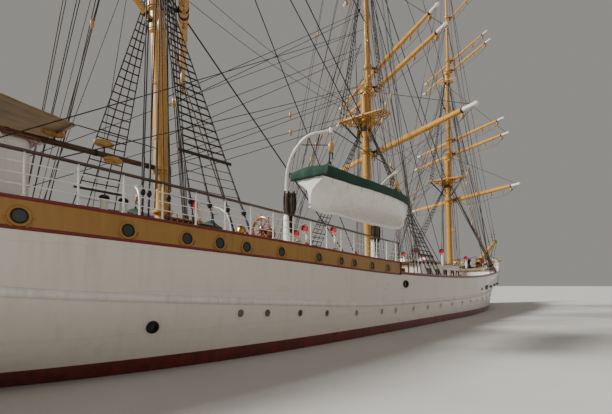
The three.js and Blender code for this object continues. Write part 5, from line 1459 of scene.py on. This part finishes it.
def running():
    """Running lines: batches of ropes from the pin rails and sides to the spars, with a slight sag."""
    for mast, m in MASTS.items():
        mast_lines(mast, m, bpy.context.scene.ship_sizes.line_radius)
    lines_between()


def mast_lines(mast, m, size):
    """Lines of one mast, from the rails round it and from the ship's sides, with blocks at their heads."""
    b = Build()
    deck = deck_z(m["deck"], m["x"])
    rows, tops = [], []
    for side in (-1, 1):
        # From the rails round the mast to its cap, trees and collars, behind the shrouds
        for k in range(6):
            ahead = mast == "mizzen"
            rows.append((m["x"] + (.1 + .04 * k if ahead else .3 * k - .75), side * .85, deck + .95))
            tops.append(on_mast(mast, .1 if ahead else -.34 - .03 * k, side * (.16 + .05 * k + .2 * ahead),
                                (m["top"] - .3, m["cap"] - .4, m["trees"] - .6)[k % 3]))
        # From the ship's side to the masthead
        shroud_x, back_x = feet_of(mast)
        for k in range(6):
            aft = 2.5 + .2 * k if k else .9
            rows.append(set_up(np.array(shroud_x[0] - aft), side) + (0, -side * .16, .82))
            part, z = (("lower", m["top"] - .4), ("top", m["trees"] - .4), ("top", m["trees"] - 2),
                       ("gallant", m["gallant_cap"] - .3), ("gallant", m["gallant"] - .3),
                       ("gallant", m["royal"] - .3))[k]
            tops.append(on_mast(mast, AXIS[part] - (.4 if k else .8), side * (.2 if k else .5), z))
        for k in range(1 if mast == "mizzen" else 7):
            rows.append(set_up(np.array(back_x[0] - .32 - .36 * k), side) + (0, -side * .12, .3))
            tops.append(on_mast(mast, AXIS["top"] - .3, side * (.24 + .02 * k),
                                m["cap"] + 1 + (m["trees"] - m["cap"] - 1.5) * (k % 4) / 3))
    rows, tops = np.array(rows), np.array(tops)
    paths = sagging(rows, tops, np.full((len(rows), 1, 1), .05), 6)
    thick = size * (1 - .3 * (np.arange(len(paths)) % 3 == 1))[:, None] * np.ones(6)
    b.tubes(paths[::2], thick[::2], "hemp", 6, caps=False)
    b.tubes(paths[1::2], thick[1::2], "wire", 6, caps=False)
    spindle(b, paths[::3, 2] * .6 + paths[::3, 3] * .4)
    for p in tops[1::3]:
        block(b, p)
    b.finish(f"{mast}_running_lines", slot="wire")


def lines_between():
    """Lines that lead aft from the main and fore masts, in pairs, with blocks on some."""
    b = Build()
    pairs, thick = [], []
    for after, ahead, leads in (
            ("mizzen", "main", ((9.7, 21.4, .42), (8.75, 18.9, .6), (7.35, 15.9, .3), (7, 14.4, .5))),
            ("main", "fore", ((8.6, 19.4, .4), (7.6, 16.6, .5), (6.6, 13.9, .4)))):
        for low, high, gap in leads:
            a, e = on_mast(after, .34, .12, low), on_mast(ahead, -.3, .2, high)
            pairs += [(a, e), (a * (1, -1, 1) - (0, 0, gap), e * (1, -1, 1) - (0, 0, gap * .6))]
            thick += [.016, .016]
    # Straight down from the topmast head to the next mast's foot, and long level lines between heads
    for after, ahead in (("mizzen", "main"), ("main", "fore")):
        m, n = MASTS[after], MASTS[ahead]
        pairs += [(on_mast(ahead, -.45, .1, 2.6), on_mast(after, AXIS["top"] + .28, .05, m["trees"] - .6)),
                  (on_mast(ahead, -.4, .1, n["top"] + .2),
                   on_mast(after, AXIS["gallant"] + .2, .05, m["gallant_cap"] + .7)),
                  (on_mast(after, .4, -.1, m["hounds"] + .2), on_mast(ahead, -.4, -.1, n["hounds"] + .7)),
                  (on_mast(after, .4, .1, m["top"] + .7), on_mast(ahead, -.4, .1, n["top"] + .4))]
        thick += [.028, .036, .012, .012]
    # From the quarterdeck's sides to the masthead forward of them
    for x, z, y in ((-23.4, 20, .3), (-22.2, 16.2, .4)):
        for side in (-1, 1):
            pairs.append((set_up(np.array(x), side) + (0, 0, .9), on_mast("main", -.32, side * y, z)))
            thick.append(.015)
    pairs = np.array(pairs)
    sag = np.where(np.array(thick) < .014, .5, .06)[:, None, None]
    paths = sagging(pairs[:, 0], pairs[:, 1], sag, 9)
    b.tubes(paths, np.array(thick)[:, None] * np.ones(9), "wire", 6, caps=False)
    spindle(b, paths[4:7:2, 4])
    b.finish("fore_and_aft_lines", slot="wire")


def tip_of(row, side):
    """Place near the end of a yard's arm, in the ship's frame."""
    mast, _, height, half, _, brace, part = row
    at = Build().on(mast, AXIS[part], height, brace)
    return at.turn @ np.array([REACH[part], side * half * .97, 0]) + at.move


def lifts():
    """Lifts: straight ropes from the mast to near each end of a yard."""
    for row in YARDS:
        mast, name, part, m = row[0], row[1], row[6], MASTS[row[0]]
        if name in ("upper_topsail", "lower_topgallant", "upper_topgallant", "royal"):
            continue
        dx, z = {"lower": (AXIS["top"] + .1, m["cap"] + .1), "top": (AXIS["gallant"] - .1, m["trees"] - .7),
                 "gallant": (AXIS["gallant"] - .03, m["gallant"] + .2)}[part]
        b, body = Build(), f"{mast}_{name}_yard"
        for side in (-1, 1):
            b.tubes([on_mast(mast, dx, side * .2, z), tip_of(row, side)], .019, "wire", 6, caps=False)
        obj = b.finish(f"{body}_lifts", body=None, slot="wire", weld=False)
        head = on_mast(mast, dx, 0, z) * SCALE
        foot = head * (1, 1, 0) + (0, 0, tip_of(row, 1)[2] * SCALE)
        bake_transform(obj)


def declare(sheet, thick, rests_on):
    """Gives a cloth its thickness."""
    cloth = sheet.modifiers.new("cloth", "SOLIDIFY")
    cloth.thickness, cloth.offset = thick, 0


def boats():
    """Boats: ring k = (x, half(x) g(s), keel(x) + s (gunwale(x) - keel(x))), where the share of the
    breadth g is the round section's, turning to a hollow wineglass at the transom."""
    s = np.array([0, .04, .08, .14, .22, .32, .44, .56, .68, .8, .9, 1])
    full = np.interp(s, (0, .05, .1, .2, .34, .5, .68, .85, 1), (.02, .16, .3, .52, .72, .85, .94, .985, 1))
    hollow = np.interp(s, (0, .3, .45, .58, .72, .85, 1), (.03, .07, .15, .38, .72, .93, 1))
    t = np.linspace(0, 1, 40)
    table = along(BOAT, t)
    half, gunwale = BOAT_HALF * table[:, 0], BOAT_KEEL + BOAT_DEEP + table[:, 2]
    half = half * (1 + .18 * np.clip(1 - t / .2, 0, 1))
    keel = BOAT_KEEL + .8 * table[:, 1] - .3 * np.clip(1 - t / .2, 0, 1)
    x = BOAT_AFT + BOAT_LONG * t
    share = np.clip(1 - t / .34, 0, 1)[:, None] ** 1.3
    g = full * (1 - share) + hollow * share
    right = xyz(x[:, None], half[:, None] * g, keel[:, None] + (gunwale - keel)[:, None] * s)
    for side, label in ((-1, "starboard"), (1, "port")):
        b = Build().at((0, side * BOAT_Y, 0))
        ring = np.concatenate([right[:, ::-1] * (1, -1, 1), right], 1)
        b.grid(ring, "gelcoat")
        b.face(ring[0], "gelcoat")
        rim = ring[:, [0, -1]]
        for k in (0, 1):
            b.grid(np.stack([rim[:, k], rim[:, k] * (1, .93, 1)], 1), "teak")
        # Keel, stem and rubbing band
        spine = xyz(x, 0, keel)
        b.sweep(spine, np.array([(-.035, .05), (.035, .05), (.03, -.07), (-.03, -.07)]), "gelcoat")
        stem = xyz(x[-1], 0, np.linspace(keel[-1], gunwale[-1], 6))
        b.tubes(stem[None], .04, "gelcoat", 8)
        b.finish(f"boat_{label}_hull", replaces=[f"boat_{label}"], slot="boat_paint", angle=50)
        boat_cover(side, label, t, table, x, half, keel, gunwale, s, right)


def boat_cover(side, label, t, table, x, half, keel, gunwale, s, right):
    """Cover: over the gunwale, with a band that hangs down the sides and across the transom, and a
    peak round each lifting hook; height = gunwale + crown(y) + peaks exp(-d^2)."""
    u = np.linspace(-1, 1, 41)
    c = Build().at((0, side * BOAT_Y, 0))
    end = np.clip(np.minimum(t, 1 - t) * 9, 0, 1) ** .6
    peaks = sum(np.exp(-((x - h) / .42) ** 2) for h in HOOKS)[:, None]
    across = np.clip(np.abs(u) / .74, 0, 1)
    crown = (.1 + .16 * table[:, 0])[:, None] * (.45 + .55 * end[:, None]) * (1 - across ** 1.5)
    crown = crown + .26 * peaks * (1 - across) ** 2.2
    crown = crown - .015 * np.sin(t * 50)[:, None] * np.sin(np.pi * across)
    down = .3 * np.clip((np.abs(u) - .74) / .26, 0, 1)
    hang = np.stack([np.interp(1 - down / (gunwale[k] - keel[k]), s, right[k, :, 1]) for k in range(40)])
    y = np.where(np.abs(u) < .74, half[:, None] * across, hang) + .03
    y = y + (.014 + .01 * np.sin(t * 64)[:, None]) * np.clip(down / .3, 0, 1)
    skin = xyz(x[:, None], np.sign(u) * y, gunwale[:, None] + .03 + crown - down)
    c.grid(skin, "cover")
    # Aft end: the same edge turned down across the transom in two soft folds
    rows = [skin[0] + (-.035, 0, -.01)]
    for k, fall in ((-.055, .1), (-.06, .2), (-.05, .29)):
        rows.append(xyz(x[0] + k - .012 * np.sin(u * 14), rows[0][:, 1],
                        np.minimum(rows[0][:, 2], gunwale[0] + .03 - fall)))
    c.grid(np.stack([skin[0], *rows]), "cover")
    nose = [skin[-1] + (.03, 0, 0), skin[-1] * (1, .6, 1) + (.05, 0, -.02)]
    c.grid(np.stack([skin[-1], *nose]), "cover")
    made = c.finish(f"boat_{label}_cover", replaces=[f"boat_cover_{label}"], slot="boat_cover", angle=70)
    declare(made, .004, [f"boat_{label}_hull"])
    d = Build().at((0, side * BOAT_Y, 0))
    for k, way in ((0, -1), (-1, 1)):
        lace = skin[:, k] + (0, way * .014, .012)
        d.tubes(lace[None], .011, "cover", 6)
        eyes = lace[2::4]
        d.bars(eyes, eyes - (0, way * .03, .2), .006, "pale_rope", 5)
    for h in HOOKS:
        z = float(np.interp(h, x, gunwale)) + .5
        d.tubes([(h, 0, z - .12), (h, 0, z + .08)], .06, "cover", 10)
        d.tubes([(h, 0, z), (h, 0, z + .25)], .022, "iron", 8)
    d.finish(f"boat_{label}_lashings", slot="boat_cover")


def davits():
    """Davits: two arms on each side, with a span and man ropes between their heads."""
    for side, label in ((-1, "starboard"), (1, "port")):
        b = Build()
        aft, fore = [davit(b, side, *row) for row in DAVITS]
        b.tubes([aft + (0, 0, .05), fore + (0, 0, .05)], .016, "wire", 6)
        # Man ropes that hang from the span
        for k in (.3, .7):
            p = aft + (fore - aft) * k
            b.tubes([p, p * (1, 1, 0) + (0, 0, 6.3)], .012, "hemp", 6)
        b.finish(f"davits_{label}_arms", replaces=[f"davits_{label}"], slot="white_paint")


def davit(b, side, foot_x, head_x, low):
    """Davit: a tube swept along an arm that bends out over the side, with falls of four parts between
    blocks, and a ragged hank of rope on its upright."""
    way = math.copysign(1, head_x - foot_x)
    y = deck_half(foot_x) - .29
    z = hull_top(foot_x)
    top = DAVIT_TOP + low
    table = [(0, foot_x, y, z), (1, foot_x, y, z + .5), (2.2, foot_x, y, 5.7 + low),
             (3, foot_x + .03 * way, y + .1, 6.35 + low), (4, foot_x + .1 * way, y + .38, 6.86 + low),
             (5, foot_x + .19 * way, y + .85, 7.2 + low), (6, head_x, BOAT_Y, top)]
    p = along(table, np.linspace(0, 6, 44)) * (1, side, 1)
    b.tubes(p[None], np.interp(np.linspace(0, 6, 44), (0, 2, 6), (.088, .08, .05))[None], "white", 16)
    b.lathe([(.17, 0), (.17, .05), (.13, .08), (.125, .9), (.1, .95)], "white",
            (foot_x, side * y, z + .01), 20)
    tip = np.array([head_x, side * BOAT_Y, top])
    b.lathe([(0, -.1), (.06, -.09), (.08, 0), (.06, .09), (0, .12)], "white", tip, 16)
    b.tubes([tip - (0, 0, .08), tip - (0, 0, .42)], .032, "oak", 10)
    b.lathe([(0, .2), (.05, .19), (.1, .1), (.11, -.02), (.085, -.15), (.04, -.2), (0, -.2)], "oak",
            tip - (0, 0, .58), 16)
    parts = np.array([(-.08, 0, 0), (-.02, .05, 0), (.04, -.05, 0), (.09, 0, 0)])
    end = BOAT_KEEL + BOAT_DEEP + .72
    b.bars(tip + parts - (0, 0, .76), (tip + parts * .8) * (1, 1, 0) + (0, 0, end), .02,
            "old_rope", 6)
    # The hauling part to the arm, and its long hank on the upright
    hook = np.array([foot_x + .02 * way, side * (y + .12), 5.66])
    b.tubes([tip - (0, 0, .5), p[30] * (1, 1, 0) + (0, 0, p[30, 2])], .014, "wire", 6)
    b.tubes([p[30], p[20], hook + (0, 0, .3)], .016, "old_rope", 6)
    k = np.arange(18)
    apart = np.array([.62, side * .785, 0])
    across = ((k - 8.5) * .021 + np.sign(k - 8.5) * .02)[:, None] * apart
    across = across + xyz(0, side * .035 * np.sin(5 * k), 0)
    top, end = -.14 - .1 * np.abs(np.sin(2.7 * k)), -.92 - .12 * np.abs(np.sin(1.9 * k))
    hook = hook + (0, 0, 0 if foot_x < -12 else -.45)
    strands = hook + np.stack([across * wide + xyz(0, 0, top + (end - top) * t)
                                     for wide, t in ((.9, 0), (1.05, .3), (1, .7), (.6, 1))], 1)
    for first, (thick, rope) in enumerate(((.028, "hemp"), (.03, "old_rope"), (.026, "old_rope"))):
        b.tubes(strands[first::3], thick, rope, 6)
    tails = hook + np.stack([across[4:14:2] * .55 + (0, 0, -.85), across[4:14:2] * .4
                                   + apart * .05 + (0, 0, -1.6)], 1)
    b.tubes(tails, .03, "old_rope", 6)
    return tip


def spanker():
    """Boom and gaff."""
    spanker_spar("boom", BOOM_Z, 12.1, RAKE, .1, "boom_wood", "teak")
    spanker_spar("gaff", GAFF_Z, 9.4, math.radians(38), .12, "ochre", "ochre_paint")


def spanker_spar(name, z, length, lift, radius, material, slot):
    """Turned spar on the mizzen's own joint, p = d (-cos lift, 0, sin lift), with jaws, bands, blocks."""
    b = Build().on("mizzen", 0, z)
    ring = MAST_R / math.cos(math.pi / 8) + .014
    b.lathe(collar(ring, .045, .1, .015), "ochre", sides=32)
    way = np.array([-math.cos(lift), 0, math.sin(lift)])
    d = np.array([.38, .55, .8, 3, 6, 9, length - .3, length - .06, length])
    d = d[d <= length]
    taper = lambda at: radius * np.interp(at / length, (0, .25, .6, 1), (.9, 1, .92, .6))
    r = taper(d)
    r[-1] *= .6
    b.tubes(way * d[:, None], r, material, 22)
    for at in (.62, 2.5, 5, 7.5, length - .5):
        b.tubes([way * (at - .05), way * (at + .05)], float(taper(at)) + .012, "iron", 22)
    b.boxes(way * .36, (.3, .18, .14), "iron")
    for at in (6.4, length - .9):
        block(b, way * at - (0, 0, radius + .16), 1.1)
    if name == "boom":
        # Long golden blocks of the sheet and topping lifts, strapped on the boom
        shape = [(0, -.36), (.07, -.34), (.13, -.22), (.15, -.02), (.14, .14), (.08, .3), (0, .34)]
        for at, lift_by in ((3.75, .3), (2.2, .4), (1.9, -.1)):
            b.lathe(shape, "oak", way * at + (0, 0, lift_by), 16, "x")
            b.tubes([way * at, way * at + (0, 0, lift_by)], .03, "iron", 8)
    b.finish(f"{name}_spar", body=name, replaces=[name], slot=slot)


def awning():
    """Awning: one sheet, z = edge + crown (1 - |y|^1.35) - sag between the spreaders, over (x, y), that
    narrows forward from the full breadth."""
    x = np.linspace(-27.6, -20.45, 70)
    y = np.linspace(-1, 1, 41)
    broad = lambda at: np.interp(at, (-27.6, -24.5, -22.4, -20.45), (2.3, 2.22, 1.93, 1.3))
    arch = (1 - np.abs(y) ** 1.35) * np.interp(x, (-24.5, -21), (1, .12))[:, None]
    bays = np.sin(np.pi * np.clip((x + 27.5) / 2.2167, 0, 3))[:, None] ** 2
    z = 7.02 + .5 * arch - .05 * bays * (1 - np.abs(y) ** 4) - .03 * bays * arch
    p = xyz(x[:, None], (broad(x)[:, None] - .04 * bays * np.abs(y) ** 8) * y, z)
    b = Build()
    b.grid(p, "awning")
    sheet = b.finish("awning_sheet", replaces=["awning"], slot="canvas", angle=180)
    f = Build()
    f.tubes([(-23.6, 0, 7.5), (-29.55, 0, 7.47)], .045, "teak", 10)
    f.tubes([on_mast("mizzen", -.2, 0, 7.53), (-23.6, 0, 7.5)], .018, "wire", 6)
    f.tubes([(-29.55, 0, hull_top(-29.55) - .05), (-29.55, 0, 7.53)], .055, "teak", 12)
    u = np.linspace(-1.01, 1.01, 19)
    for at in (-20.6, -23, -25.3, -27.5):
        rise = .5 * np.interp(at, (-24.5, -21), (1, .12))
        f.tubes(xyz(at, broad(at) * u, 6.97 + rise * (1 - np.abs(u) ** 1.35))[None],
                .032, "teak", 8)
    for side in (-1, 1):
        edge = p[:, 0 if side < 0 else -1]
        f.tubes(edge[None] - (0, 0, .006), .014, "pale_rope", 6)
        for at in (-27.5, -25.3, -23):
            k = int(np.argmin(np.abs(x - at)))
            low = np.array([at, side * (deck_half(at) - .08), hull_top(at) + .9])
            f.tubes([edge[k], low], .01, "pale_rope", 6)
    declare(sheet, .003, [f.finish("awning_spreaders", replaces=["awning_frame"], slot="teak")])


def bowsprit():
    """Bowsprit: a tapering pole p = heel + t (tip - heel) to its red end, with bands, bobstays, shrouds
    and the netting's upper lines."""
    pole = TIP - HEEL
    way = pole / np.linalg.norm(pole)
    b = Build()
    t = np.array([-.03, .0, .3, .6, .9, .955])
    b.tubes(HEEL + t[:, None] * pole, [.3, .3, .29, .27, .235, .23], "ochre", 32, caps=False)
    b.tubes(HEEL + np.array([.955, .99, 1.0])[:, None] * pole, [.232, .232, .22], "red", 32)
    for k in (.3, .345, .5, .66, .72, .86, .94, .985):
        p = HEEL + k * pole
        b.tubes([p - way * .05, p + way * .05], .305 - .06 * k, "iron" if k > .3 else "ochre", 32)
    for side in (-1, 1):
        for k in (.66, .985):
            b.tubes([HEEL + k * pole + (0, side * .24, 0), (28.9, side * 1.05, 4.3)], .022, "wire", 7)
        # Netting's upper line and handline
        b.tubes([(29.2, side * .75, 6.1), HEEL + .93 * pole + (0, side * .2, .1)], .016, "pale_rope", 6)
    for k, low in ((.66, (29.62, 0, 3.9)), (.985, (29.1, 0, 3.3))):
        b.tubes([HEEL + k * pole - (0, 0, .25), low], .035, "wire", 8)
    z = deck_z("forecastle", 27.6)
    b.boxes((27.5, 0, z + .25), (.3, .9, .8), "teak")
    b.boxes((27.35, 0, z + .75), (.5, 1.0, .1), "teak")
    b.finish("bowsprit_dressed", replaces=["bowsprit"], slot="ochre_paint", bevel=.003)


def stage():
    """Pale floor at the waterline, soft light from aft of the port side, and the camera."""
    u = circle(1, 64)
    radii = np.array([.01, 20, 60, 160, 420])
    p = xyz(radii[:, None] * u[:, 0], radii[:, None] * u[:, 1], 0)
    mesh = bpy.data.meshes.new("floor")
    index = np.arange(p[..., 0].size).reshape(p.shape[:2])
    right = np.roll(index, -1, 1)
    quads = np.stack([index[:-1], index[1:], right[1:], right[:-1]], -1).reshape(-1, 4)
    mesh.from_pydata(p.reshape(-1, 3).tolist(), [], quads.tolist() + [index[0].tolist()])
    mesh.materials.append(floor_paint())
    floor = bpy.data.objects.new("floor", mesh)
    bpy.context.collection.objects.link(floor)

    world = bpy.data.worlds.new("studio")
    world.use_nodes = True
    light_set = bpy.context.scene.ship_light
    sky = world.node_tree.nodes["Background"].inputs
    sky[0].default_value, sky[1].default_value = srgb("E8E4DE"), light_set.sky
    bpy.context.scene.world = world
    for name, power, angle, way in (("key", light_set.key, 14, (.62, -.62, -.62)),
                                    ("fill", light_set.fill, 60, (.3, .8, -.35))):
        light = bpy.data.lights.new(name, "SUN")
        light.energy, light.angle = power, math.radians(angle)
        lamp = bpy.data.objects.new(name, light)
        lamp.rotation_euler = Vector(way).to_track_quat("-Z", "Y").to_euler()
        bpy.context.collection.objects.link(lamp)

    lens = bpy.data.cameras.new("camera")
    lens.lens, lens.sensor_width, lens.sensor_fit = LENS, 36, "HORIZONTAL"
    lens.shift_y, lens.clip_end, lens.clip_start = SHIFT, 2000, .05
    camera = bpy.data.objects.new("camera", lens)
    camera.location = CAMERA
    camera.rotation_euler = (math.radians(TILT), 0, math.radians(TURN))
    bpy.context.collection.objects.link(camera)
    bpy.context.scene.camera = camera


class ShipSizes(bpy.types.PropertyGroup):
    ratline_step: bpy.props.FloatProperty(
        name="Ratline step", description="Height between the steps on the shrouds, on the real ship",
        default=.29, min=.2, max=1, unit="LENGTH")
    stanchion_step: bpy.props.FloatProperty(
        name="Stanchion step", description="Distance between the posts of the rails, on the real ship",
        default=.975, min=.4, max=3, unit="LENGTH")
    line_radius: bpy.props.FloatProperty(
        name="Line radius", description="Radius of the running lines, on the real ship",
        default=.018, min=.005, max=.05, unit="LENGTH")


class ShipColours(bpy.types.PropertyGroup):
    # The side's default is darkened and warmed from white as painted shade of the hull's side.
    side: bpy.props.FloatVectorProperty(
        name="Side", description="Enamel of the hull", size=4, subtype="COLOR", default=srgb("E6DED2"))
    spar: bpy.props.FloatVectorProperty(
        name="Spars", description="Enamel of the masts and yards", size=4, subtype="COLOR",
        default=srgb("CB963F"))
    cover: bpy.props.FloatVectorProperty(
        name="Boat covers", description="Canvas over the boats", size=4, subtype="COLOR",
        default=srgb("15412F"))


class ShipLight(bpy.types.PropertyGroup):
    sky: bpy.props.FloatProperty(
        name="Sky", description="Strength of the even light all round", default=.36, min=0, max=5)
    key: bpy.props.FloatProperty(
        name="Key", description="Strength of the main light", default=5.3, min=0, max=20)
    fill: bpy.props.FloatProperty(
        name="Fill", description="Strength of the light on the shaded side", default=.12, min=0, max=20)


class SHIP_OT_hull(bpy.types.Operator):
    """Makes the hull's plating, mouldings, ports and bulwark rails"""
    bl_idname = "ship.hull"
    bl_label = "Hull"

    def execute(self, context):
        hull_surface()
        hull_trim()
        return {"FINISHED"}


class SHIP_OT_decks(bpy.types.Operator):
    """Makes the planked decks with their ventilators, bitts, hatches and pin rails"""
    bl_idname = "ship.decks"
    bl_label = "Decks"

    def execute(self, context):
        planks()
        return {"FINISHED"}


class SHIP_OT_rails(bpy.types.Operator):
    """Makes the guard rails of the raised decks"""
    bl_idname = "ship.rails"
    bl_label = "Guard rails"

    def execute(self, context):
        rails()
        return {"FINISHED"}


class SHIP_OT_houses(bpy.types.Operator):
    """Makes the deck houses and their doors"""
    bl_idname = "ship.houses"
    bl_label = "Deck houses"

    def execute(self, context):
        houses()
        return {"FINISHED"}


class SHIP_OT_helm(bpy.types.Operator):
    """Makes the steering wheel, its box and the compass stand"""
    bl_idname = "ship.helm"
    bl_label = "Helm"

    def execute(self, context):
        helm()
        return {"FINISHED"}


class SHIP_OT_forecastle(bpy.types.Operator):
    """Makes the capstan, the anchors and their chain"""
    bl_idname = "ship.forecastle"
    bl_label = "Ground tackle"

    def execute(self, context):
        forecastle_gear()
        return {"FINISHED"}


class SHIP_OT_stern(bpy.types.Operator):
    """Makes the rudder and the propeller"""
    bl_idname = "ship.stern"
    bl_label = "Rudder and propeller"

    def execute(self, context):
        stern_gear()
        return {"FINISHED"}


class SHIP_OT_masts(bpy.types.Operator):
    """Makes the masts with their tops and crosstrees, and the bowsprit"""
    bl_idname = "ship.masts"
    bl_label = "Masts"

    def execute(self, context):
        masts()
        bowsprit()
        return {"FINISHED"}


class SHIP_OT_yards(bpy.types.Operator):
    """Makes the yards with their footropes, and their lifts"""
    bl_idname = "ship.yards"
    bl_label = "Yards"

    def execute(self, context):
        yards()
        lifts()
        return {"FINISHED"}


class SHIP_OT_rigging(bpy.types.Operator):
    """Makes the shrouds, ratlines, stays and running lines"""
    bl_idname = "ship.rigging"
    bl_label = "Rigging"

    def execute(self, context):
        rigging()
        running()
        return {"FINISHED"}


class SHIP_OT_boats(bpy.types.Operator):
    """Makes the boats, their covers and davits"""
    bl_idname = "ship.boats"
    bl_label = "Boats and davits"

    def execute(self, context):
        boats()
        davits()
        return {"FINISHED"}


class SHIP_OT_spanker(bpy.types.Operator):
    """Makes the boom, the gaff and the awning over the after deck"""
    bl_idname = "ship.spanker"
    bl_label = "Spanker gear and awning"

    def execute(self, context):
        spanker()
        awning()
        return {"FINISHED"}


class SHIP_OT_stage(bpy.types.Operator):
    """Makes the floor, the lights and the camera"""
    bl_idname = "ship.stage"
    bl_label = "Stage"

    def execute(self, context):
        stage()
        return {"FINISHED"}


OPERATORS = (SHIP_OT_stage, SHIP_OT_hull, SHIP_OT_decks, SHIP_OT_rails, SHIP_OT_houses, SHIP_OT_helm,
             SHIP_OT_forecastle, SHIP_OT_stern, SHIP_OT_masts, SHIP_OT_yards, SHIP_OT_rigging,
             SHIP_OT_boats, SHIP_OT_spanker)


class SHIP_PT_panel(bpy.types.Panel):
    bl_label = "Full-rigged ship"
    bl_idname = "SHIP_PT_panel"
    bl_space_type = "VIEW_3D"
    bl_region_type = "UI"
    bl_category = "Ship"

    def draw(self, context):
        for group in (context.scene.ship_sizes, context.scene.ship_colours, context.scene.ship_light):
            for name in group.__annotations__:
                self.layout.prop(group, name)
        for each in OPERATORS:
            self.layout.operator(each.bl_idname)


GROUPS = {"ship_sizes": ShipSizes, "ship_colours": ShipColours, "ship_light": ShipLight}


def register():
    """Registers the classes and gives the scene its settings."""
    for each in (*GROUPS.values(), *OPERATORS, SHIP_PT_panel):
        bpy.utils.register_class(each)
    for name, group in GROUPS.items():
        setattr(bpy.types.Scene, name, bpy.props.PointerProperty(type=group))


def unregister():
    """Takes both away again."""
    for name in GROUPS:
        delattr(bpy.types.Scene, name)
    for each in (SHIP_PT_panel, *reversed(OPERATORS), *GROUPS.values()):
        bpy.utils.unregister_class(each)


def main():
    """Makes every piece in order."""
    register()
    for each in OPERATORS:
        group, name = each.bl_idname.split(".")
        getattr(getattr(bpy.ops, group), name)()


if __name__ == "__main__":
    main()
